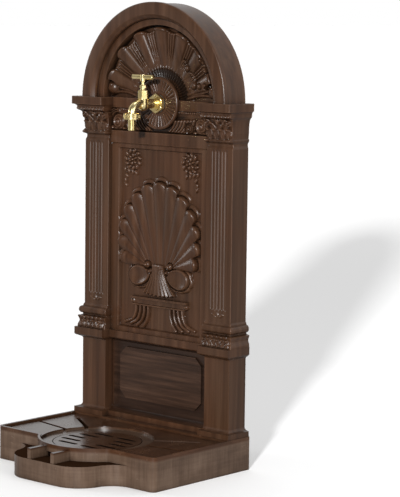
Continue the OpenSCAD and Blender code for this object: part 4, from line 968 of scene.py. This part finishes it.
def arch_sheets(s):
    """Arch: one profile swept round half a circle."""
    step_r = TYMPANUM_R + 13.6
    back_r = ARCH_R - 2.2
    cove = [(step_r + 4 + 6 * cosd(a), ARCH_D - 10 + 6 * sind(a)) for a in range(210, 119, -10)]
    nose = [(ARCH_R - 3 + 3 * cosd(a), ARCH_D - 3 + 3 * sind(a)) for a in range(90, -1, -15)]
    points = ([(TYMPANUM_R, TYMPANUM_D - 1), (TYMPANUM_R, ARCH_D - 17), (TYMPANUM_R + 0.6, ARCH_D - 15.6),
               (TYMPANUM_R + 2, ARCH_D - 15), (step_r - 2, ARCH_D - 15)] + cove
              + [(step_r + 5.2, ARCH_D), (step_r + 5.6, ARCH_D)] + nose
              + [(ARCH_R, ARCH_D - 9), (back_r, ARCH_D - 11), (back_r, 20), (back_r, 0.4), (back_r - 0.4, 0),
                 (back_r - SHELL_T, 0), (back_r - SHELL_T, COVER_D)])
    r = np.array([p[0] for p in points])[:, None]
    a = half_turn(241)
    x, z = r * np.cos(a), CORNICE_Z + r * np.sin(a)
    d = np.broadcast_to(np.array([p[1] for p in points])[:, None], x.shape)
    # The last rows face backwards
    cut = len(points) - 3
    s.sheet(x[:cut], d[:cut], z[:cut], (0, 1, 0))
    s.sheet(x[cut - 1:], d[cut - 1:], z[cut - 1:], (0, -1, 0))


def fan_sheet(s):
    """Fan on the wall inside the arch, with the level pad behind the rosette."""
    r = np.linspace(0, 1, 190)[:, None] ** 0.8 * TYMPANUM_R
    a = half_turn(761)
    x, z = r * np.cos(a), CORNICE_Z + r * np.sin(a)
    pad = np.hypot(x, z - TAP_Z) < ROSETTE_R - 6
    s.sheet(x, np.where(pad, CORNICE_WALL_D, TYMPANUM_D + fan_relief(x, z)), z, (0, 1, 0))


def crown_piece():
    s = Shape()
    cornice_sheets(s)
    arch_sheets(s)
    fan_sheet(s)
    return s.build("crown_front_moulding", CARVED)


shaft = shaft_piece()
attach(shaft, "fountain")
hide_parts("shaft_front")
crown = crown_piece()
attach(crown, "fountain")
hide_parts("crown_front")


# Floor and room

# Reflectance of the floor to the camera, and a mid grey for the light it sends to the object
FLOOR_SEEN = 0.90
FLOOR_BOUNCE = 0.40
# The lamps light the floor less further out, so it glows more there
GLOW_NEAR = 0.035
GLOW_FAR = 0.19
GLOW_START = 0.4
GLOW_END = 4.0
# A white backdrop behind the object and a dimmer room in front of it
WORLD_FRONT = 0.13
WORLD_BACK = 1.0
BACK_WAY = (-0.25, 0.95, 0.0)


def stage_white():
    mat, nt, out = new_material("floor_white")
    seen = add(nt, "ShaderNodeLightPath").outputs["Is Camera Ray"]
    diff = add(nt, "ShaderNodeBsdfDiffuse")
    nt.links.new(spread(nt, seen, 0.0, 1.0, FLOOR_BOUNCE, FLOOR_SEEN), diff.inputs["Color"])
    away = add(nt, "ShaderNodeVectorMath", operation="LENGTH")
    nt.links.new(add(nt, "ShaderNodeNewGeometry").outputs["Position"], away.inputs[0])
    glow = spread(nt, away.outputs["Value"], GLOW_START, GLOW_END, GLOW_NEAR, GLOW_FAR)
    emit = add(nt, "ShaderNodeEmission")
    nt.links.new(product(nt, seen, glow), emit.inputs["Strength"])
    total = add(nt, "ShaderNodeAddShader")
    nt.links.new(diff.outputs[0], total.inputs[0])
    nt.links.new(emit.outputs[0], total.inputs[1])
    nt.links.new(total.outputs[0], out.inputs[0])
    return mat


def studio_world():
    world = bpy.data.worlds.new("studio")
    world.use_nodes = True
    nt = world.node_tree
    nt.nodes.clear()
    out = nt.nodes.new("ShaderNodeOutputWorld")
    back = add(nt, "ShaderNodeVectorMath", operation="DOT_PRODUCT")
    nt.links.new(add(nt, "ShaderNodeTexCoord").outputs["Generated"], back.inputs[0])
    back.inputs[1].default_value = BACK_WAY
    room = spread(nt, back.outputs["Value"], -0.5, 0.5, WORLD_FRONT, WORLD_BACK)
    # The camera sees plain white
    seen = add(nt, "ShaderNodeMapRange", in_4=1.0)
    nt.links.new(add(nt, "ShaderNodeLightPath").outputs["Is Camera Ray"], seen.inputs[0])
    nt.links.new(room, seen.inputs[3])
    bg = add(nt, "ShaderNodeBackground", in_Color=(1, 1, 1, 1))
    nt.links.new(seen.outputs[0], bg.inputs["Strength"])
    nt.links.new(bg.outputs[0], out.inputs[0])
    return world


floor_mesh = bpy.data.meshes.new("floor")
floor_mesh.from_pydata([(-40, -40, 0), (40, -40, 0), (40, 60, 0), (-40, 60, 0)], [], [(0, 1, 2, 3)])
floor_mesh.materials.append(stage_white())
floor = put("floor", floor_mesh)
bpy.context.scene.world = studio_world()


# Lamps: places in metres, powers in watts, and the angles of the sun in degrees

def turn_to(ob, way):
    ob.rotation_euler = Vector(way).to_track_quat("-Z", "Y").to_euler()


def area(name, at, look, size, power):
    li = bpy.data.lights.new(name, "AREA")
    li.shape = "RECTANGLE"
    li.size = size
    li.size_y = size
    li.energy = power
    ob = put(name, li)
    ob.location = at
    turn_to(ob, Vector(look) - Vector(at))


def low_sun(azimuth, elevation, strength, width):
    li = bpy.data.lights.new("low_sun", "SUN")
    li.energy = strength
    li.angle = math.radians(width)
    level = cosd(elevation)
    turn_to(put("low_sun", li), (-sind(azimuth) * level, cosd(azimuth) * level, -sind(elevation)))


low_sun(azimuth=30.5, elevation=11.5, strength=5.8, width=3.4)
area("right", at=(2.9, -0.2, 1.3), look=(0, 0, 0.45), size=1.6, power=23)
area("left", at=(-2.6, -0.85, 1.0), look=(0, 0, 0.45), size=0.4, power=14)
area("top", at=(0.2, 0.2, 3.0), look=(0, 0, 0.4), size=1.0, power=7)

# Camera, from a fit of the part's edges to points read in the photograph
CAMERA_AT = (2.4366, -2.5130, 0.8055)
CAMERA_AZIMUTH = 41.55
CAMERA_ELEVATION = 6.89
CAMERA_ROLL = 0.7427
FOCAL_PIXELS = 2063.93
IMAGE_HEIGHT = 497
SENSOR = 36.0

level = cosd(CAMERA_ELEVATION)
back = Vector((sind(CAMERA_AZIMUTH) * level, -cosd(CAMERA_AZIMUTH) * level, sind(CAMERA_ELEVATION)))
across = Vector((cosd(CAMERA_AZIMUTH), sind(CAMERA_AZIMUTH), 0))
upward = back.cross(across)
right = across * cosd(CAMERA_ROLL) + upward * sind(CAMERA_ROLL)
top = upward * cosd(CAMERA_ROLL) - across * sind(CAMERA_ROLL)
cam_data = bpy.data.cameras.new("camera")
cam_data.sensor_width = SENSOR
cam_data.lens = FOCAL_PIXELS / IMAGE_HEIGHT * SENSOR
cam_data.clip_end = 200
cam = put("camera", cam_data)
turned = Matrix((right, top, back)).transposed().to_4x4()
turned.translation = Vector(CAMERA_AT)
cam.matrix_world = turned
bpy.context.scene.camera = cam
bpy.context.scene.view_settings.view_transform = "Standard"
